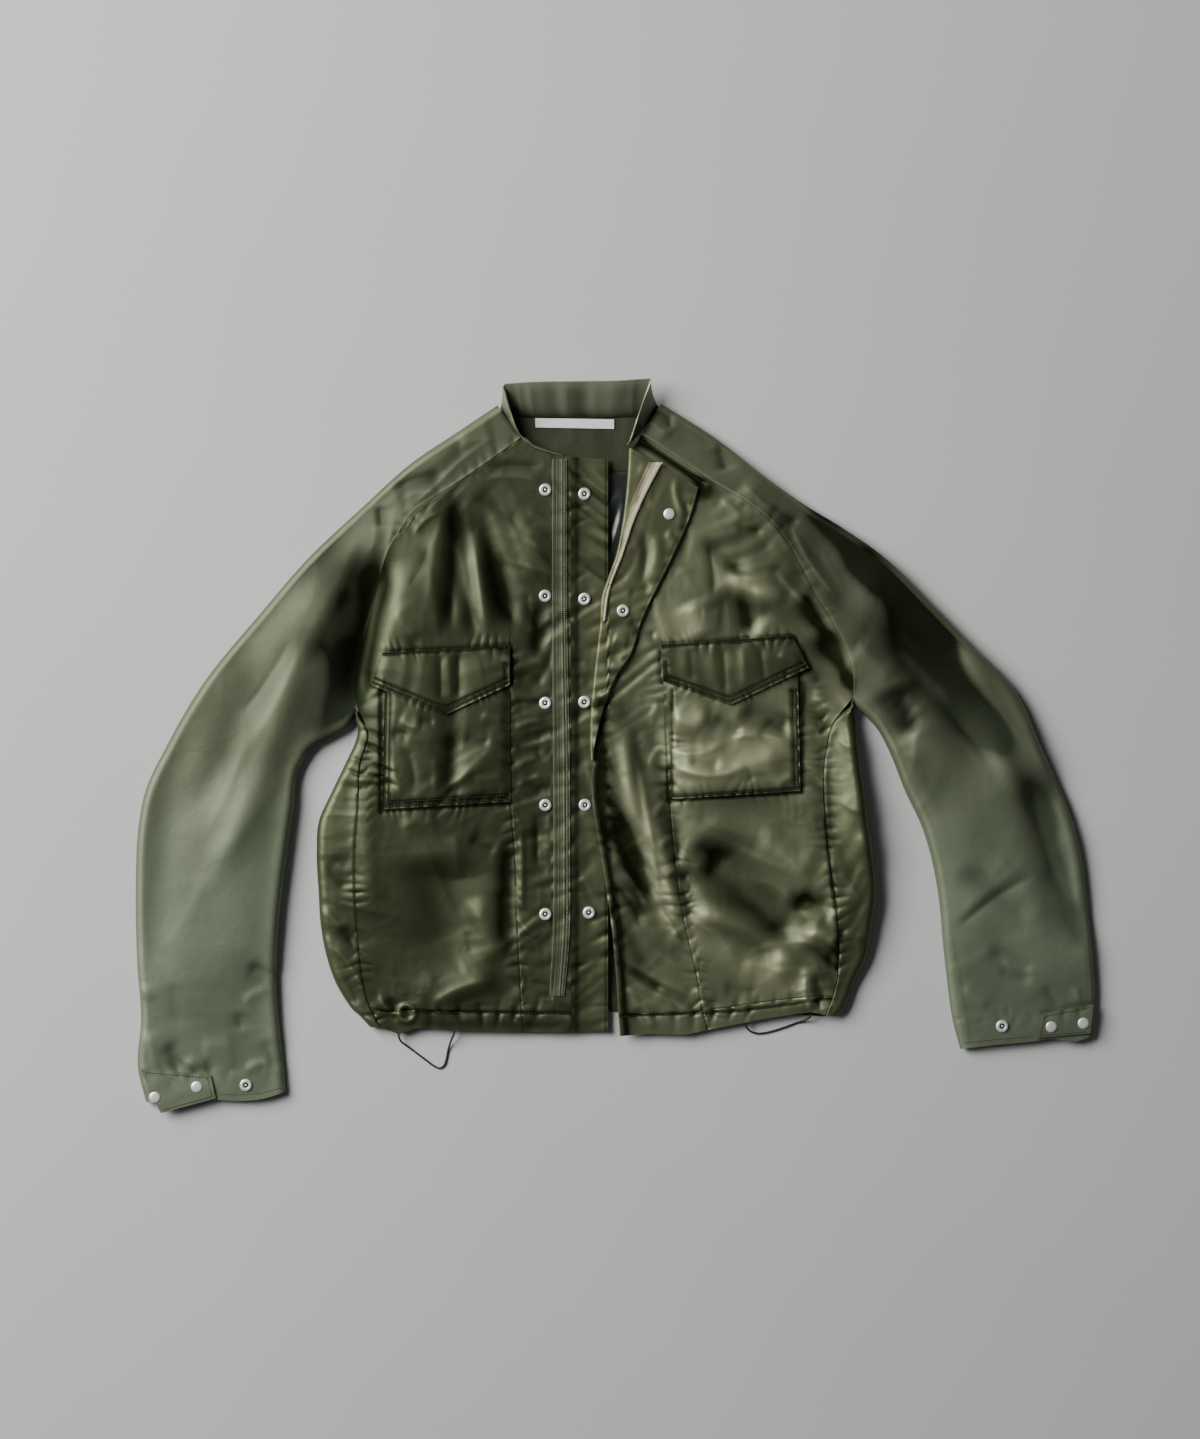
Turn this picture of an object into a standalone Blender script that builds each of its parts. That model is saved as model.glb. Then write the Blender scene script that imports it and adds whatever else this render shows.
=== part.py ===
"""Field jacket in satin nylon, lying open on its back on a flat surface.

The jacket is laid out on a sheet 1200 mm wide and 1439 mm tall. The tables below give places on that
sheet in millimetres, x to the right and y down from its top edge, as a maker measures a flat garment.
Heights are in millimetres above the surface. The wearer's right side lies on the left of the sheet.
"""

import bpy
import numpy as np

MM = 0.001
CLOTH = 1.5  # wall of the shell cloth with its lining
BAND = 1.5  # wall of the collar
TAPE = 1.0  # wall of the zip tapes and the label
SEAM = 0.4  # gap between two edges that are sewn together
LAY = 0.8  # gap between a piece and the panel that it lies on
FLOOR = CLOTH / 2  # middle of the cloth that lies on the surface
ROLL = 8.0  # how far a rounded side edge reaches, seen from above
FOLD = 2.3  # radius of the turned-back front edge
FLY_LIFT = 1.5  # how much higher its free edge lies
FLAP_LIFT = 2 * (CLOTH + LAY) + 0.25  # a flap lies over a front and its pocket
TAB_LIFT = 2.3  # a cuff tab lies over its sleeve
STRIP_DROP = 5.0  # how much lower the strip lies than the front beside it
STRIP_STEP = 7.0  # width of the slope down to it
LOFT_REACH = 46.0  # how far each height of the loft table is felt
FOLD_FADE = 0.25  # part of a fold's length over which it rises at either end
SNAP_RADIUS = 6.2
CAP_RADIUS = 5.0
SNAP_HEIGHT = 2.0
CORD_DIAMETER = 2.0
SHEET_X = 615.39
SHEET_Y = 746.45

# x, y, height of the upper cloth above the lower cloth
LOFT = (
    (150, 1095, 8), (215, 1095, 8), (280, 1085, 9), (160, 1040, 12), (265, 1030, 12),
    (210, 960, 16), (170, 850, 17), (245, 850, 17), (210, 760, 18), (270, 690, 19),
    (320, 620, 18), (370, 560, 16), (430, 480, 14), (490, 425, 12), (330, 720, 10),
    (340, 860, 16), (340, 950, 15), (370, 1010, 10), (430, 900, 15), (430, 1010, 9),
    (500, 1015, 8), (560, 1015, 8), (440, 760, 16), (440, 660, 17), (430, 590, 18),
    (480, 520, 16), (540, 470, 13), (565, 600, 12), (565, 750, 12), (565, 900, 12),
    (600, 480, 13), (612, 600, 13), (605, 750, 13), (615, 900, 13), (620, 1015, 10),
    (700, 1020, 8), (800, 1005, 9), (850, 960, 14), (860, 880, 16), (850, 780, 16),
    (740, 900, 15), (740, 760, 16), (740, 660, 17), (760, 560, 18), (700, 500, 15),
    (650, 460, 13), (858, 705, 10), (680, 425, 12), (760, 480, 16), (830, 540, 17),
    (900, 600, 19), (960, 680, 19), (1000, 780, 19), (940, 800, 18), (1060, 850, 18),
    (1000, 900, 17), (1040, 980, 14), (980, 980, 14), (1085, 1030, 9), (1020, 1035, 8),
    (965, 1040, 8),
)

# start x, start y, end x, end y, bow to the right of the way, half width, height
FOLDS = (
    (384, 560, 352, 715, 0, 15, -6), (407, 555, 374, 705, -5, 14, 4),
    (455, 495, 472, 655, 6, 13, -4), (470, 500, 520, 635, -8, 17, -4),
    (478, 505, 492, 640, -4, 9, 2.5), (445, 728, 447, 803, 0, 14, -2.5),
    (452, 800, 508, 735, 5, 15, 2), (425, 850, 440, 955, 8, 34, -5),
    (428, 1012, 505, 972, 5, 10, 2.5), (714, 562, 778, 536, -9, 10, -4),
    (722, 578, 795, 592, -10, 10, 3.5), (788, 588, 824, 645, -4, 10, 3),
    (664, 764, 794, 744, -20, 14, 2.5), (688, 842, 800, 962, 12, 28, -5),
    (798, 930, 842, 942, 0, 9, 3), (784, 900, 834, 902, 0, 10, -3),
    (806, 962, 809, 1014, 0, 9, 3), (618, 715, 652, 905, 5, 9, 2.5),
    (640, 690, 692, 965, 8, 11, -3), (304, 632, 198, 905, 10, 14, 3),
    (262, 640, 178, 830, 10, 17, -2.5), (878, 598, 1004, 794, -10, 22, -4.5),
    (882, 688, 916, 738, 0, 18, -3.5), (956, 868, 1034, 924, 5, 12, -2.5),
    (986, 948, 1034, 978, 3, 10, -2),
)

# outlines of the right sleeve: outer side from the cuff up, inner side, cuff and raglan seam
RIGHT_SLEEVE = {
    "outer": (
        (146, 1102), (138, 1069), (141, 1020), (137, 958), (136, 879), (138, 832), (145, 793),
        (168, 744), (202, 686), (262, 612), (307, 560), (363, 507), (412, 463), (453, 436), (492, 411),
    ),
    "inner": (
        (285, 1092), (282, 1057), (278, 1018), (276, 988), (277, 949), (281, 899), (286, 860),
        (293, 809), (299, 768), (312, 748), (330, 738), (347, 728), (359, 715),
    ),
    "cuff": ((146, 1102), (170, 1104), (195, 1101), (215, 1100), (237, 1101), (262, 1099), (285, 1092)),
    "raglan": (
        (359, 715), (355, 688), (360, 655), (370, 615), (379, 580), (388, 552), (398, 534), (414, 511),
        (431, 499), (455, 484), (487, 462), (519, 440),
    ),
    "neck": ((492, 411), (506, 424), (519, 440)),
}
LEFT_SLEEVE = {
    "outer": (
        (1093, 1036), (1095, 1001), (1091, 940), (1086, 890), (1081, 854), (1067, 804), (1042, 750),
        (1017, 694), (966, 640), (932, 605), (882, 556), (839, 526), (806, 506), (766, 478), (716, 441),
        (666, 408),
    ),
    "inner": (
        (961, 1049), (954, 1023), (947, 975), (943, 940), (940, 906), (933, 864), (923, 829),
        (905, 790), (888, 748), (877, 728), (865, 715), (852, 705),
    ),
    "cuff": ((1093, 1036), (1072, 1042), (1055, 1039), (1029, 1042), (995, 1045), (961, 1049)),
    "raglan": (
        (852, 705), (853, 680), (846, 649), (832, 622), (816, 596), (799, 562), (781, 533), (765, 516),
        (743, 500), (716, 484), (676, 457), (643, 436),
    ),
    "neck": ((666, 408), (654, 423), (643, 436)),
}
ARM_ROWS = 14  # rows of a sleeve from the cuff to the underarm
CAP_ROWS = 14  # rows from there to the neck, along the raglan seam
ARM_SHARE = {"right": 0.67, "left": 0.66}  # part of the outer side that lies below the underarm's row
TOP_CELLS = 7  # cells across a sleeve's upper cloth
LOW_CELLS = 5  # cells across its lower cloth
ROLL_CELLS = 4
END_REACH = 0.2  # part of the sleeve over which the curve of its cuff or neck fades

# y, left side, right side of the body, from the underarm down
BODY = (
    (705, 358, 853), (738, 357, 857), (763, 346, 860), (790, 333, 864), (822, 319, 868), (850, 317, 872),
    (894, 319, 876), (925, 321, 872), (957, 327, 866), (985, 337, 853), (1002, 347, 847),
    (1010, 353, 843), (1016, 360, 837), (1027, 370, 828),
)
BACK_HEM = ((340, 1022), (376, 1024), (480, 1016), (613, 1012), (740, 1014), (870, 1018))
FLOOR_CELLS = 8
UNDERARM_SHARE = 0.3  # how far up the first raglan cell the front's corner lies
UNDERARM_GAP = 2.8  # between the ends of the sleeve's and the body's rolls
ROLL_GAP = 3  # seam gaps by which the end of the body's roll stands in from the sleeve's
END_GAP = 2  # seam gaps between the end of the back's strip and the front
BACK_NECK_DROP = 4.5  # how far the back's neck edge dips between the sleeves
MIN_STRIP = 1.0  # least width of the back's strip beside the front
STRIP_CELLS = 2

# row, side x, side y, pocket edge x, yoke seam x, front x, front y; rows from 13 on follow the raglan seam
RIGHT_FRONT = (
    (0, 381, 1027, 402, 524, 571, 1031), (1, 371, 1008, 394, 522, 571, 1013),
    (3, 362, 970, 388, 520, 571, 976), (5, 357, 914, 384, 517, 571, 914),
    (7, 356, 857, 383, 515, 571, 852), (9, 359, 811, 383, 511, 571, 799),
    (11, 362, 760, 384, 510, 571, 747), (12, 369, 735, 386, 510, 571, 721),
    (13, 362, 709, 386, 510, 571, 694),
)
LEFT_FRONT = (
    (0, 825, 1015, 804, 708, 620, 1036), (1, 832, 997, 806, 703, 618.5, 1017),
    (3, 838, 962, 806, 696, 616, 975), (5, 836, 912, 804, 684, 611, 922),
    (7, 829, 862, 802, 676, 603, 868), (9, 823, 800, 800, 670, 593, 806),
    (11, 825, 754, 799, 666, 590.5, 757), (12, 831, 726, 798, 664, 590, 732),
    (13, 849, 698, 797, 663, 592, 706),
)
HEM_FADE = ((0, 1.0), (1, 0.6), (2, 0.25))  # row from the hem, part of the hem's drop that it takes
NECK_FADE = ((-1, 1.0), (-2, 0.7), (-3, 0.4))  # the same for the neckline's bend
NECK_CROWDING = 0.9  # below 1 the rows lie closer together towards the neck
FLY_FADE = 20.0  # length over which the gap beside the turned-back edge closes
SIDE_ROWS = 13
SIDE_COLUMNS = 2
POCKET_COLUMNS = 7
FRONT_COLUMNS = 4
FLY_END = 760  # y of the lower end of the turned-back edge
FLY_ROWS = 20
FLY_CELLS = 5
FOLD_LINE = (
    (629, 449), (628, 471), (625, 504), (621, 532), (616, 556), (607, 581), (602, 596), (600, 624),
    (597, 650), (593, 686), (590.5, 716), (590, 747), (590.5, FLY_END),
)
FREE_EDGE = (
    (698, 488), (691, 513), (673, 555), (642, 619), (627, 660), (621, 668), (604, 707), (599, 732),
    (597.5, FLY_END),
)
RIGHT_HEM = ((381, 1027), (399, 1034), (413, 1029), (424, 1028), (459, 1031), (520, 1032), (571, 1032))
LEFT_HEM = ((620, 1036), (647, 1034), (685, 1035), (708, 1030), (769, 1018), (811, 1012), (825, 1015))
NECKLINE = {
    "right": ((519, 440), (532, 447), (549, 455), (571, 457)),
    "left": ((643, 436), (637, 443), (629, 449)),
}

# x, y, height of the collar's seam, then of its upper edge, from the right front round the back
COLLAR = (
    (550, 453.0, 12.0, 562, 455.5, 15.5), (534, 445.5, 13.0, 541, 450.0, 18.0),
    (521, 436.0, 13.0, 525, 441.0, 20.5), (512, 425.5, 12.5, 516, 428.0, 23.0),
    (505, 415.0, 10.0, 510, 411.0, 26.0), (501, 408.0, 9.0, 505.5, 394.0, 29.0),
    (505, 408.0, 7.0, 504, 386.5, 30.0), (518, 415.5, 4.8, 514, 385.0, 30.5),
    (545, 416.5, 4.6, 540, 383.5, 31.0), (580, 416.5, 4.6, 580, 383.0, 31.0),
    (612, 416.5, 4.6, 615, 382.5, 31.0), (640, 415.0, 4.8, 641, 380.8, 30.5),
    (653, 408.0, 7.0, 650, 381.0, 30.0), (658, 407.0, 9.0, 648.5, 388.0, 29.5),
    (654, 414.0, 10.5, 644, 399.5, 28.0), (647, 424.5, 12.5, 638, 417.0, 25.0),
    (640, 432.5, 13.0, 632.5, 434.0, 22.0), (629, 444.5, 13.5, 628.0, 446.0, 18.0),
)
COLLAR_COLUMNS = 34
COLLAR_ROWS = 4
STRIP_EDGE = 608.0  # x of the strip's free edge
STRIP_SHARES = (0.0, 0.2, 0.46, 0.73, 1.0)  # lines of the strip, as parts of its width
STRIP_NECK = 2.5  # how much lower its upper end lies at the free edge
FACING = ((519, 421), (640, 419.5), (640, 472), (519, 460))
FACING_CELLS = (4, 6)
LABEL_CELLS = (1, 3)
LINING_CELLS = (6, 3)
POCKET_CELLS = (7, 8)
FLAP_CELLS = (3, 8)
TAB_CELLS = (3, 6)
ZIP_CELLS = (18, 2)
CORD_POINTS = 24
LABEL = ((535, 417.8), (614, 419), (614, 428.5), (535.5, 427))
LINING = ((586, 474), (640, 474), (632, 610), (586, 610))
RIGHT_POCKET = ((383, 809), (511, 801.5), (509.5, 660), (385.5, 670))
LEFT_POCKET = ((669.5, 799), (800, 790.5), (797, 655), (662, 660))
RIGHT_FLAP = ((383, 653), (510, 645.5), (510, 685), (446, 715), (372, 685))
LEFT_FLAP = ((661, 645), (792, 636), (808, 668), (730, 705), (663, 681))
# y, left edge, right edge
RIGHT_ZIP = (
    (459, 552.5, 567), (640, 552.3, 567.5), (740, 553, 569.5), (850, 553.5, 570), (935, 552.6, 569.5),
    (996, 549.5, 564.5),
)
LEFT_ZIP = ((463, 654, 666), (513, 633, 645), (549, 620.5, 629), (590, 608, 613), (622, 604.5, 608))
RIGHT_TAB = ((141, 1069), (211, 1075), (216, 1098), (161, 1113))
LEFT_TAB = ((1093, 1004), (1041, 1014), (1036, 1038), (1090, 1033))
# name, x, y, what it sits on, ring or cap
SNAPS = (
    ("front_1", 545.4, 490, "front", "ring"), ("front_2", 545.2, 596, "front", "ring"),
    ("front_3", 545.4, 703, "front", "ring"), ("front_4", 545.5, 805, "front", "ring"),
    ("front_5", 545.5, 914, "front", "ring"), ("strip_1", 584.5, 494, "strip", "ring"),
    ("strip_2", 584.5, 599, "strip", "ring"), ("strip_3", 584.5, 702, "strip", "ring"),
    ("strip_4", 585, 805, "strip", "ring"), ("strip_5", 589, 912.5, "strip", "ring"),
    ("fly_1", 669, 514.5, "fly", "cap"), ("fly_2", 623, 611, "fly", "ring"),
    ("right_cuff_1", 246, 1085, "right sleeve", "ring"), ("right_cuff_2", 197, 1086.5, "right tab", "cap"),
    ("right_cuff_3", 155, 1097, "right tab", "cap"), ("left_cuff_1", 1002, 1026, "left sleeve", "ring"),
    ("left_cuff_2", 1051, 1026.6, "left tab", "cap"), ("left_cuff_3", 1083, 1023, "left tab", "cap"),
)
# radius share, height share of a snap's turned outline
RING_PROFILE = ((0.0, 0.35), (0.34, 0.35), (0.46, 1.0), (0.82, 1.0), (1.0, 0.45), (1.0, 0.0))
CAP_PROFILE = ((0.0, 0.8), (0.5, 0.75), (0.86, 0.55), (1.0, 0.2), (1.0, 0.0))
SNAP_SIDES = 10

# x, y, height of each drawcord's way from the hem and back to it
RIGHT_CORD = (
    (398.5, 1032.85, 10.5), (398.8, 1036.4, 9.9), (400.6, 1041.4, 6.6), (405, 1045.4, 2.7),
    (411, 1050, 1.15), (419, 1056, 1.15), (427, 1062, 1.15), (434, 1067, 1.15), (439.5, 1069, 1.15),
    (443.5, 1066.5, 1.15), (446, 1060, 1.15), (447.5, 1052, 1.3), (449.5, 1045, 3.2), (452, 1038.5, 7.2),
    (453.7, 1034.4, 9.3), (454, 1031.02, 9.55),
)
LEFT_CORD = (
    (811, 1013.45, 11.3), (810.5, 1016.0, 10.6), (808, 1018.8, 7.0), (803.5, 1021.4, 3.0),
    (797, 1023.6, 1.15), (790, 1026.2, 1.15), (782, 1029, 1.15), (773, 1031.8, 1.15), (765, 1033.6, 1.15),
    (758, 1034.2, 1.2), (752.5, 1032.8, 2.6), (748.6, 1029.8, 6.4), (746.1, 1026.4, 9.0),
    (745.5, 1023.5, 9.5),
)

OLIVE = (0.085, 0.095, 0.052)
NIGHT = (0.006, 0.008, 0.013)
PALE = (0.72, 0.72, 0.68)
OLIVE_TAPE = (0.11, 0.11, 0.06)
CREAM_TAPE = (0.6, 0.57, 0.45)
METAL = (0.8, 0.8, 0.78)
BLACK = (0.01, 0.01, 0.01)


def spline(table, at):
    """The columns of a table at any key: cubic Hermite pieces with slopes from the neighbouring rows."""
    table = np.asarray(table, float)
    key, values = table[:, 0], table[:, 1:]
    slope = np.gradient(values, key, axis=0)
    at = np.clip(np.asarray(at, float), key[0], key[-1])
    i = np.clip(np.searchsorted(key, at, side="right") - 1, 0, len(key) - 2)
    step = (key[i + 1] - key[i])[..., None]
    s = (at - key[i])[..., None] / step
    start = (1 + 2 * s) * (1 - s) ** 2 * values[i] + s * (1 - s) ** 2 * step * slope[i]
    end = s * s * (3 - 2 * s) * values[i + 1] - s * s * (1 - s) * step * slope[i + 1]
    return start + end


def outline(points, at):
    """Points at given shares of the length of a smooth line through a few points."""
    points = np.asarray(points, float)
    reach = np.r_[0, np.cumsum(np.linalg.norm(np.diff(points, axis=0), axis=1))]
    return spline(np.column_stack([reach / reach[-1], points]), at)


def straight(points, at):
    """Points at given shares of the length of the straight stretches between a few points."""
    points = np.asarray(points, float)
    reach = np.r_[0, np.cumsum(np.linalg.norm(np.diff(points, axis=0), axis=1))]
    return np.stack([np.interp(at, reach / reach[-1], column) for column in points.T], axis=-1)


def step_up(value):
    """0 below 0, 1 above 1, and smooth between."""
    value = np.clip(value, 0, 1)
    return value * value * (3 - 2 * value)


def top(x, y):
    """Height of the upper cloth: a blend of the loft table's heights, plus each fold's rounded ridge."""
    x, y = np.broadcast_arrays(np.asarray(x, float), np.asarray(y, float))
    weights = 1e-9
    total = 1e-8
    for spot_x, spot_y, height in LOFT:
        near = np.exp(-((x - spot_x) ** 2 + (y - spot_y) ** 2) / (2 * LOFT_REACH ** 2))
        weights = weights + near
        total = total + near * height
    z = FLOOR + total / weights
    for x0, y0, x1, y1, bow, width, height in FOLDS:
        length = np.hypot(x1 - x0, y1 - y0)
        along = ((x - x0) * (x1 - x0) + (y - y0) * (y1 - y0)) / length ** 2
        across = ((x - x0) * (y1 - y0) - (y - y0) * (x1 - x0)) / length
        across = across - 4 * bow * along * (1 - along)
        fade = step_up(along / FOLD_FADE) * step_up((1 - along) / FOLD_FADE)
        z = z + height * fade * np.exp(-(across / width) ** 2)
    return z


def raised(plan, lift=0.0):
    """Plan points on the upper cloth's height, moved up by lift."""
    return np.concatenate([plan, (top(plan[..., 0], plan[..., 1]) + lift)[..., None]], axis=-1)


def normals(points, closed=False):
    """Unit normals of a grid of points, from its central differences along rows and columns."""
    along = np.gradient(points, axis=0)
    if closed:
        across = (np.roll(points, -1, axis=1) - np.roll(points, 1, axis=1)) / 2
    else:
        across = np.gradient(points, axis=1)
    normal = np.cross(along, across)
    normal /= np.maximum(np.linalg.norm(normal, axis=-1, keepdims=True), 1e-9)
    return normal


def upward(normal):
    """Normals of an open panel, turned so that they face up."""
    return normal * np.where(normal[..., 2:] < 0, -1.0, 1.0)


def turned(vectors):
    """Vectors of the sheet, where y runs down, as vectors of the frame, where y runs up."""
    return vectors * (1.0, -1.0, 1.0)


def wall(name, points, normal, thick=CLOTH, mask=None, closed=False):
    """A closed wall of even thickness round a grid of points; mask names the cells that exist."""
    rows, columns = points.shape[:2]
    count = rows * columns
    index = np.arange(count).reshape(rows, columns)
    if closed:
        index = np.concatenate([index, index[:, :1]], axis=1)
    corners = (index[:-1, :-1], index[1:, :-1], index[1:, 1:], index[:-1, 1:])
    cells = np.stack(corners, axis=-1).reshape(-1, 4)
    if mask is not None:
        cells = cells[mask.ravel()]
    outside = np.concatenate([cells[:, [0, 1, 2]], cells[:, [0, 2, 3]]])
    place = turned(points.reshape(-1, 3) - (SHEET_X, SHEET_Y, 0))
    facing = turned(normal.reshape(-1, 3))
    a, b, c = (place[outside[:, k]] for k in range(3))
    if np.sum(np.cross(b - a, c - a) * facing[outside[:, 0]]) < 0:
        outside = outside[:, ::-1]
    edges = np.concatenate([outside[:, [0, 1]], outside[:, [1, 2]], outside[:, [2, 0]]])
    known = set(map(tuple, edges.tolist()))
    rim = np.array([edge for edge in edges.tolist() if (edge[1], edge[0]) not in known])
    low = rim + count
    sides = np.concatenate([
        np.column_stack([rim[:, 1], rim[:, 0], low[:, 0]]),
        np.column_stack([rim[:, 1], low[:, 0], low[:, 1]]),
    ])
    faces = np.concatenate([outside, outside[:, ::-1] + count, sides])
    vertices = np.concatenate([place + facing * thick / 2, place - facing * thick / 2])
    used, faces = np.unique(faces, return_inverse=True)
    return solid(name, vertices[used] * MM, faces.reshape(-1, 3))


def solid(name, vertices, faces):
    """A mesh object of its own with a plain material."""
    mesh = bpy.data.meshes.new(name)
    mesh.from_pydata(vertices.tolist(), [], faces.tolist())
    mesh.update()
    piece = bpy.data.objects.new(name, mesh)
    bpy.context.collection.objects.link(piece)
    return piece


def finish(piece, colour, roughness, metallic=0.0):
    """A Principled material named after its piece."""
    material = bpy.data.materials.new(piece.name)
    material.use_nodes = True
    shader = material.node_tree.nodes["Principled BSDF"]
    shader.inputs["Base Color"].default_value = (*colour, 1.0)
    shader.inputs["Roughness"].default_value = roughness
    shader.inputs["Metallic"].default_value = metallic
    piece.data.materials.append(material)
    return piece


def cloth(piece, shade=1.0):
    """The shell cloth's finish."""
    return finish(piece, tuple(shade * c for c in OLIVE), 0.42)


def beside(line, gap):
    """A plan line moved sideways by gap, to the right of its way on the sheet."""
    way = np.gradient(line, axis=0)
    way /= np.linalg.norm(way, axis=1, keepdims=True)
    return line + gap * np.column_stack([-way[:, 1], way[:, 0]])


def sleeve_grid(side):
    """A sleeve as rings between its outer side and its inner side, which goes on as the raglan seam.

    Each ring runs over the upper cloth from the outer to the inner side, round that side by half an
    ellipse, back along the surface, and up round the outer side. Above the underarm it is open inside.
    """
    lines = SLEEVES[side]
    arm = np.linspace(0, 1, ARM_ROWS + 1)
    cap = np.linspace(0, 1, CAP_ROWS + 1)[1:]
    part = ARM_SHARE[side]
    outer = outline(lines["outer"], np.r_[arm * part, part + (1 - part) * cap])
    inner = np.concatenate([outline(lines["inner"], arm), outline(lines["raglan"], cap)])
    width = np.linalg.norm(inner - outer, axis=1)[:, None]
    outer_edge = ROLL / width
    inner_edge = outer_edge.copy()
    inner_edge[ARM_ROWS + 1:] = 0
    turn = np.linspace(90, -90, ROLL_CELLS + 1)[1:-1] * np.pi / 180
    span = 1 - outer_edge - inner_edge
    top_place = outer_edge + np.linspace(0, 1, TOP_CELLS + 1) * span
    low_place = outer_edge + np.linspace(1, 0, LOW_CELLS + 1) * span
    inner_roll = 1 - inner_edge * (1 - np.cos(turn))
    outer_roll = outer_edge * (1 - np.cos(turn[::-1]))
    u = np.concatenate([top_place, inner_roll, low_place, outer_roll], axis=1)
    t = np.linspace(0, 1, ARM_ROWS + CAP_ROWS + 1)[:, None, None]
    cuff = outline(lines["cuff"], u)
    neck = outline(lines["neck"], u)
    u = u[..., None]
    plan = (1 - u) * outer[:, None] + u * inner[:, None]
    plan = plan + step_up(1 - t / END_REACH) * (cuff - (1 - u) * outer[0] - u * inner[0])
    plan = plan + step_up(1 - (1 - t) / END_REACH) * (neck - (1 - u) * outer[-1] - u * inner[-1])
    under = slice(TOP_CELLS + 1, TOP_CELLS + ROLL_CELLS)
    plan[ARM_ROWS, under] = plan[ARM_ROWS, TOP_CELLS] + ROLL * np.cos(turn)[:, None] * (0, 1)
    height = top(plan[..., 0], plan[..., 1])
    count = TOP_CELLS + 1
    low = slice(count + ROLL_CELLS - 1, count + ROLL_CELLS + LOW_CELLS)
    inner_half = (height[:, count - 1:count] - FLOOR) / 2
    outer_half = (height[:, :1] - FLOOR) / 2
    height[:, count:low.start] = FLOOR + inner_half * (1 + np.sin(turn))
    height[:, low] = FLOOR
    height[:, low.stop:] = FLOOR + outer_half * (1 + np.sin(turn[::-1]))
    return np.concatenate([plan, height[..., None]], axis=-1)


def build_sleeve(side):
    """One sleeve; gives the grid of its upper cloth and the grid of its rings."""
    points = sleeve_grid(side)
    normal = normals(points, closed=True)
    normal = normal * np.sign(normal[ARM_ROWS // 2, 3, 2])
    count = TOP_CELLS + 1
    low = slice(count + ROLL_CELLS - 1, count + ROLL_CELLS + LOW_CELLS)
    normal[ARM_ROWS + 1:, count - 1] = (0, 0, 1)
    normal[ARM_ROWS + 1:, low.start] = (0, 0, -1)
    normal[-1, :count] = (0, 0, 1)
    normal[-1, low] = (0, 0, -1)
    mask = np.ones((ARM_ROWS + CAP_ROWS, points.shape[1]), bool)
    mask[ARM_ROWS:, count - 1:low.start] = False
    cloth(wall(f"sleeve_{side}", points, normal, mask=mask, closed=True), 1.15)
    return points[:, :count], points


def front_grid(side, table, hem, sleeve_top, front_gap):
    """A front panel: rows from the hem to the neckline between the side and the front edge.

    Below the underarm the side edge is the side seam, above it the sleeve's own edge points.
    """
    body = 1.0 if side == "right" else -1.0
    rows = spline(table, np.arange(SIDE_ROWS + 1))
    raglan = sleeve_top[ARM_ROWS:, -1]
    seam = beside(raglan[:, :2], body * SEAM)
    seam_height = raglan[:, 2].copy()
    seam[0] += UNDERARM_SHARE * (seam[1] - seam[0])
    seam_height[0] += UNDERARM_SHARE * (seam_height[1] - seam_height[0])
    line = np.array(FRONT_LINE[side], float)
    start = rows[-1, -1]
    front_y = start + (line[0, 1] - start) * np.linspace(0, 1, CAP_ROWS + 1) ** NECK_CROWDING
    front_x = spline(line[:, ::-1], front_y)[:, 0]
    front = np.concatenate([rows[:, 4:6], np.column_stack([front_x, front_y])[1:]])
    front[:, 0] += front_gap * step_up((FLY_END + FLY_FADE - front[:, 1]) / FLY_FADE)
    edge = np.concatenate([rows[:, :2], seam[1:]])
    edge[SIDE_ROWS] = seam[0]
    pocket = (rows[:, 2] - rows[:, 0]) / (rows[:, 4] - rows[:, 0])
    yoke = (rows[:, 3] - rows[:, 0]) / (rows[:, 4] - rows[:, 0])
    pocket = np.r_[pocket, np.full(CAP_ROWS, pocket[-1])]
    yoke = np.r_[yoke, np.full(CAP_ROWS, yoke[-1])]
    share = np.column_stack([
        *(pocket * k / SIDE_COLUMNS for k in range(SIDE_COLUMNS)),
        *(pocket + (yoke - pocket) * k / POCKET_COLUMNS for k in range(POCKET_COLUMNS)),
        *(yoke + (1 - yoke) * k / FRONT_COLUMNS for k in range(FRONT_COLUMNS + 1)),
    ])[..., None]
    plan = edge[:, None] * (1 - share) + front[:, None] * share
    hem = np.array(sorted(hem), float)
    drop = np.interp(plan[0, :, 0], hem[:, 0], hem[:, 1]) - plan[0, :, 1]
    for row, part in HEM_FADE:
        plan[row, :, 1] += part * drop
    neck = straight(NECKLINE[side], share[-1, :, 0])
    bend = neck - (neck[:1] * (1 - share[-1]) + neck[-1:] * share[-1])
    for row, part in NECK_FADE:
        plan[row] += part * bend
    points = raised(plan)
    points[SIDE_ROWS:, 0, 2] = seam_height
    return points


def build_front(side, table, hem, sleeve_top, front_gap):
    """One front panel, and its grid and normals for the pieces that lie on it."""
    points = front_grid(side, table, hem, sleeve_top, front_gap)
    normal = upward(normals(points))
    normal[:, 0] = (0, 0, 1)
    normal[:, -1] = (0, 0, 1)
    cloth(wall(f"front_{side}", points, normal))
    return points


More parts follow.
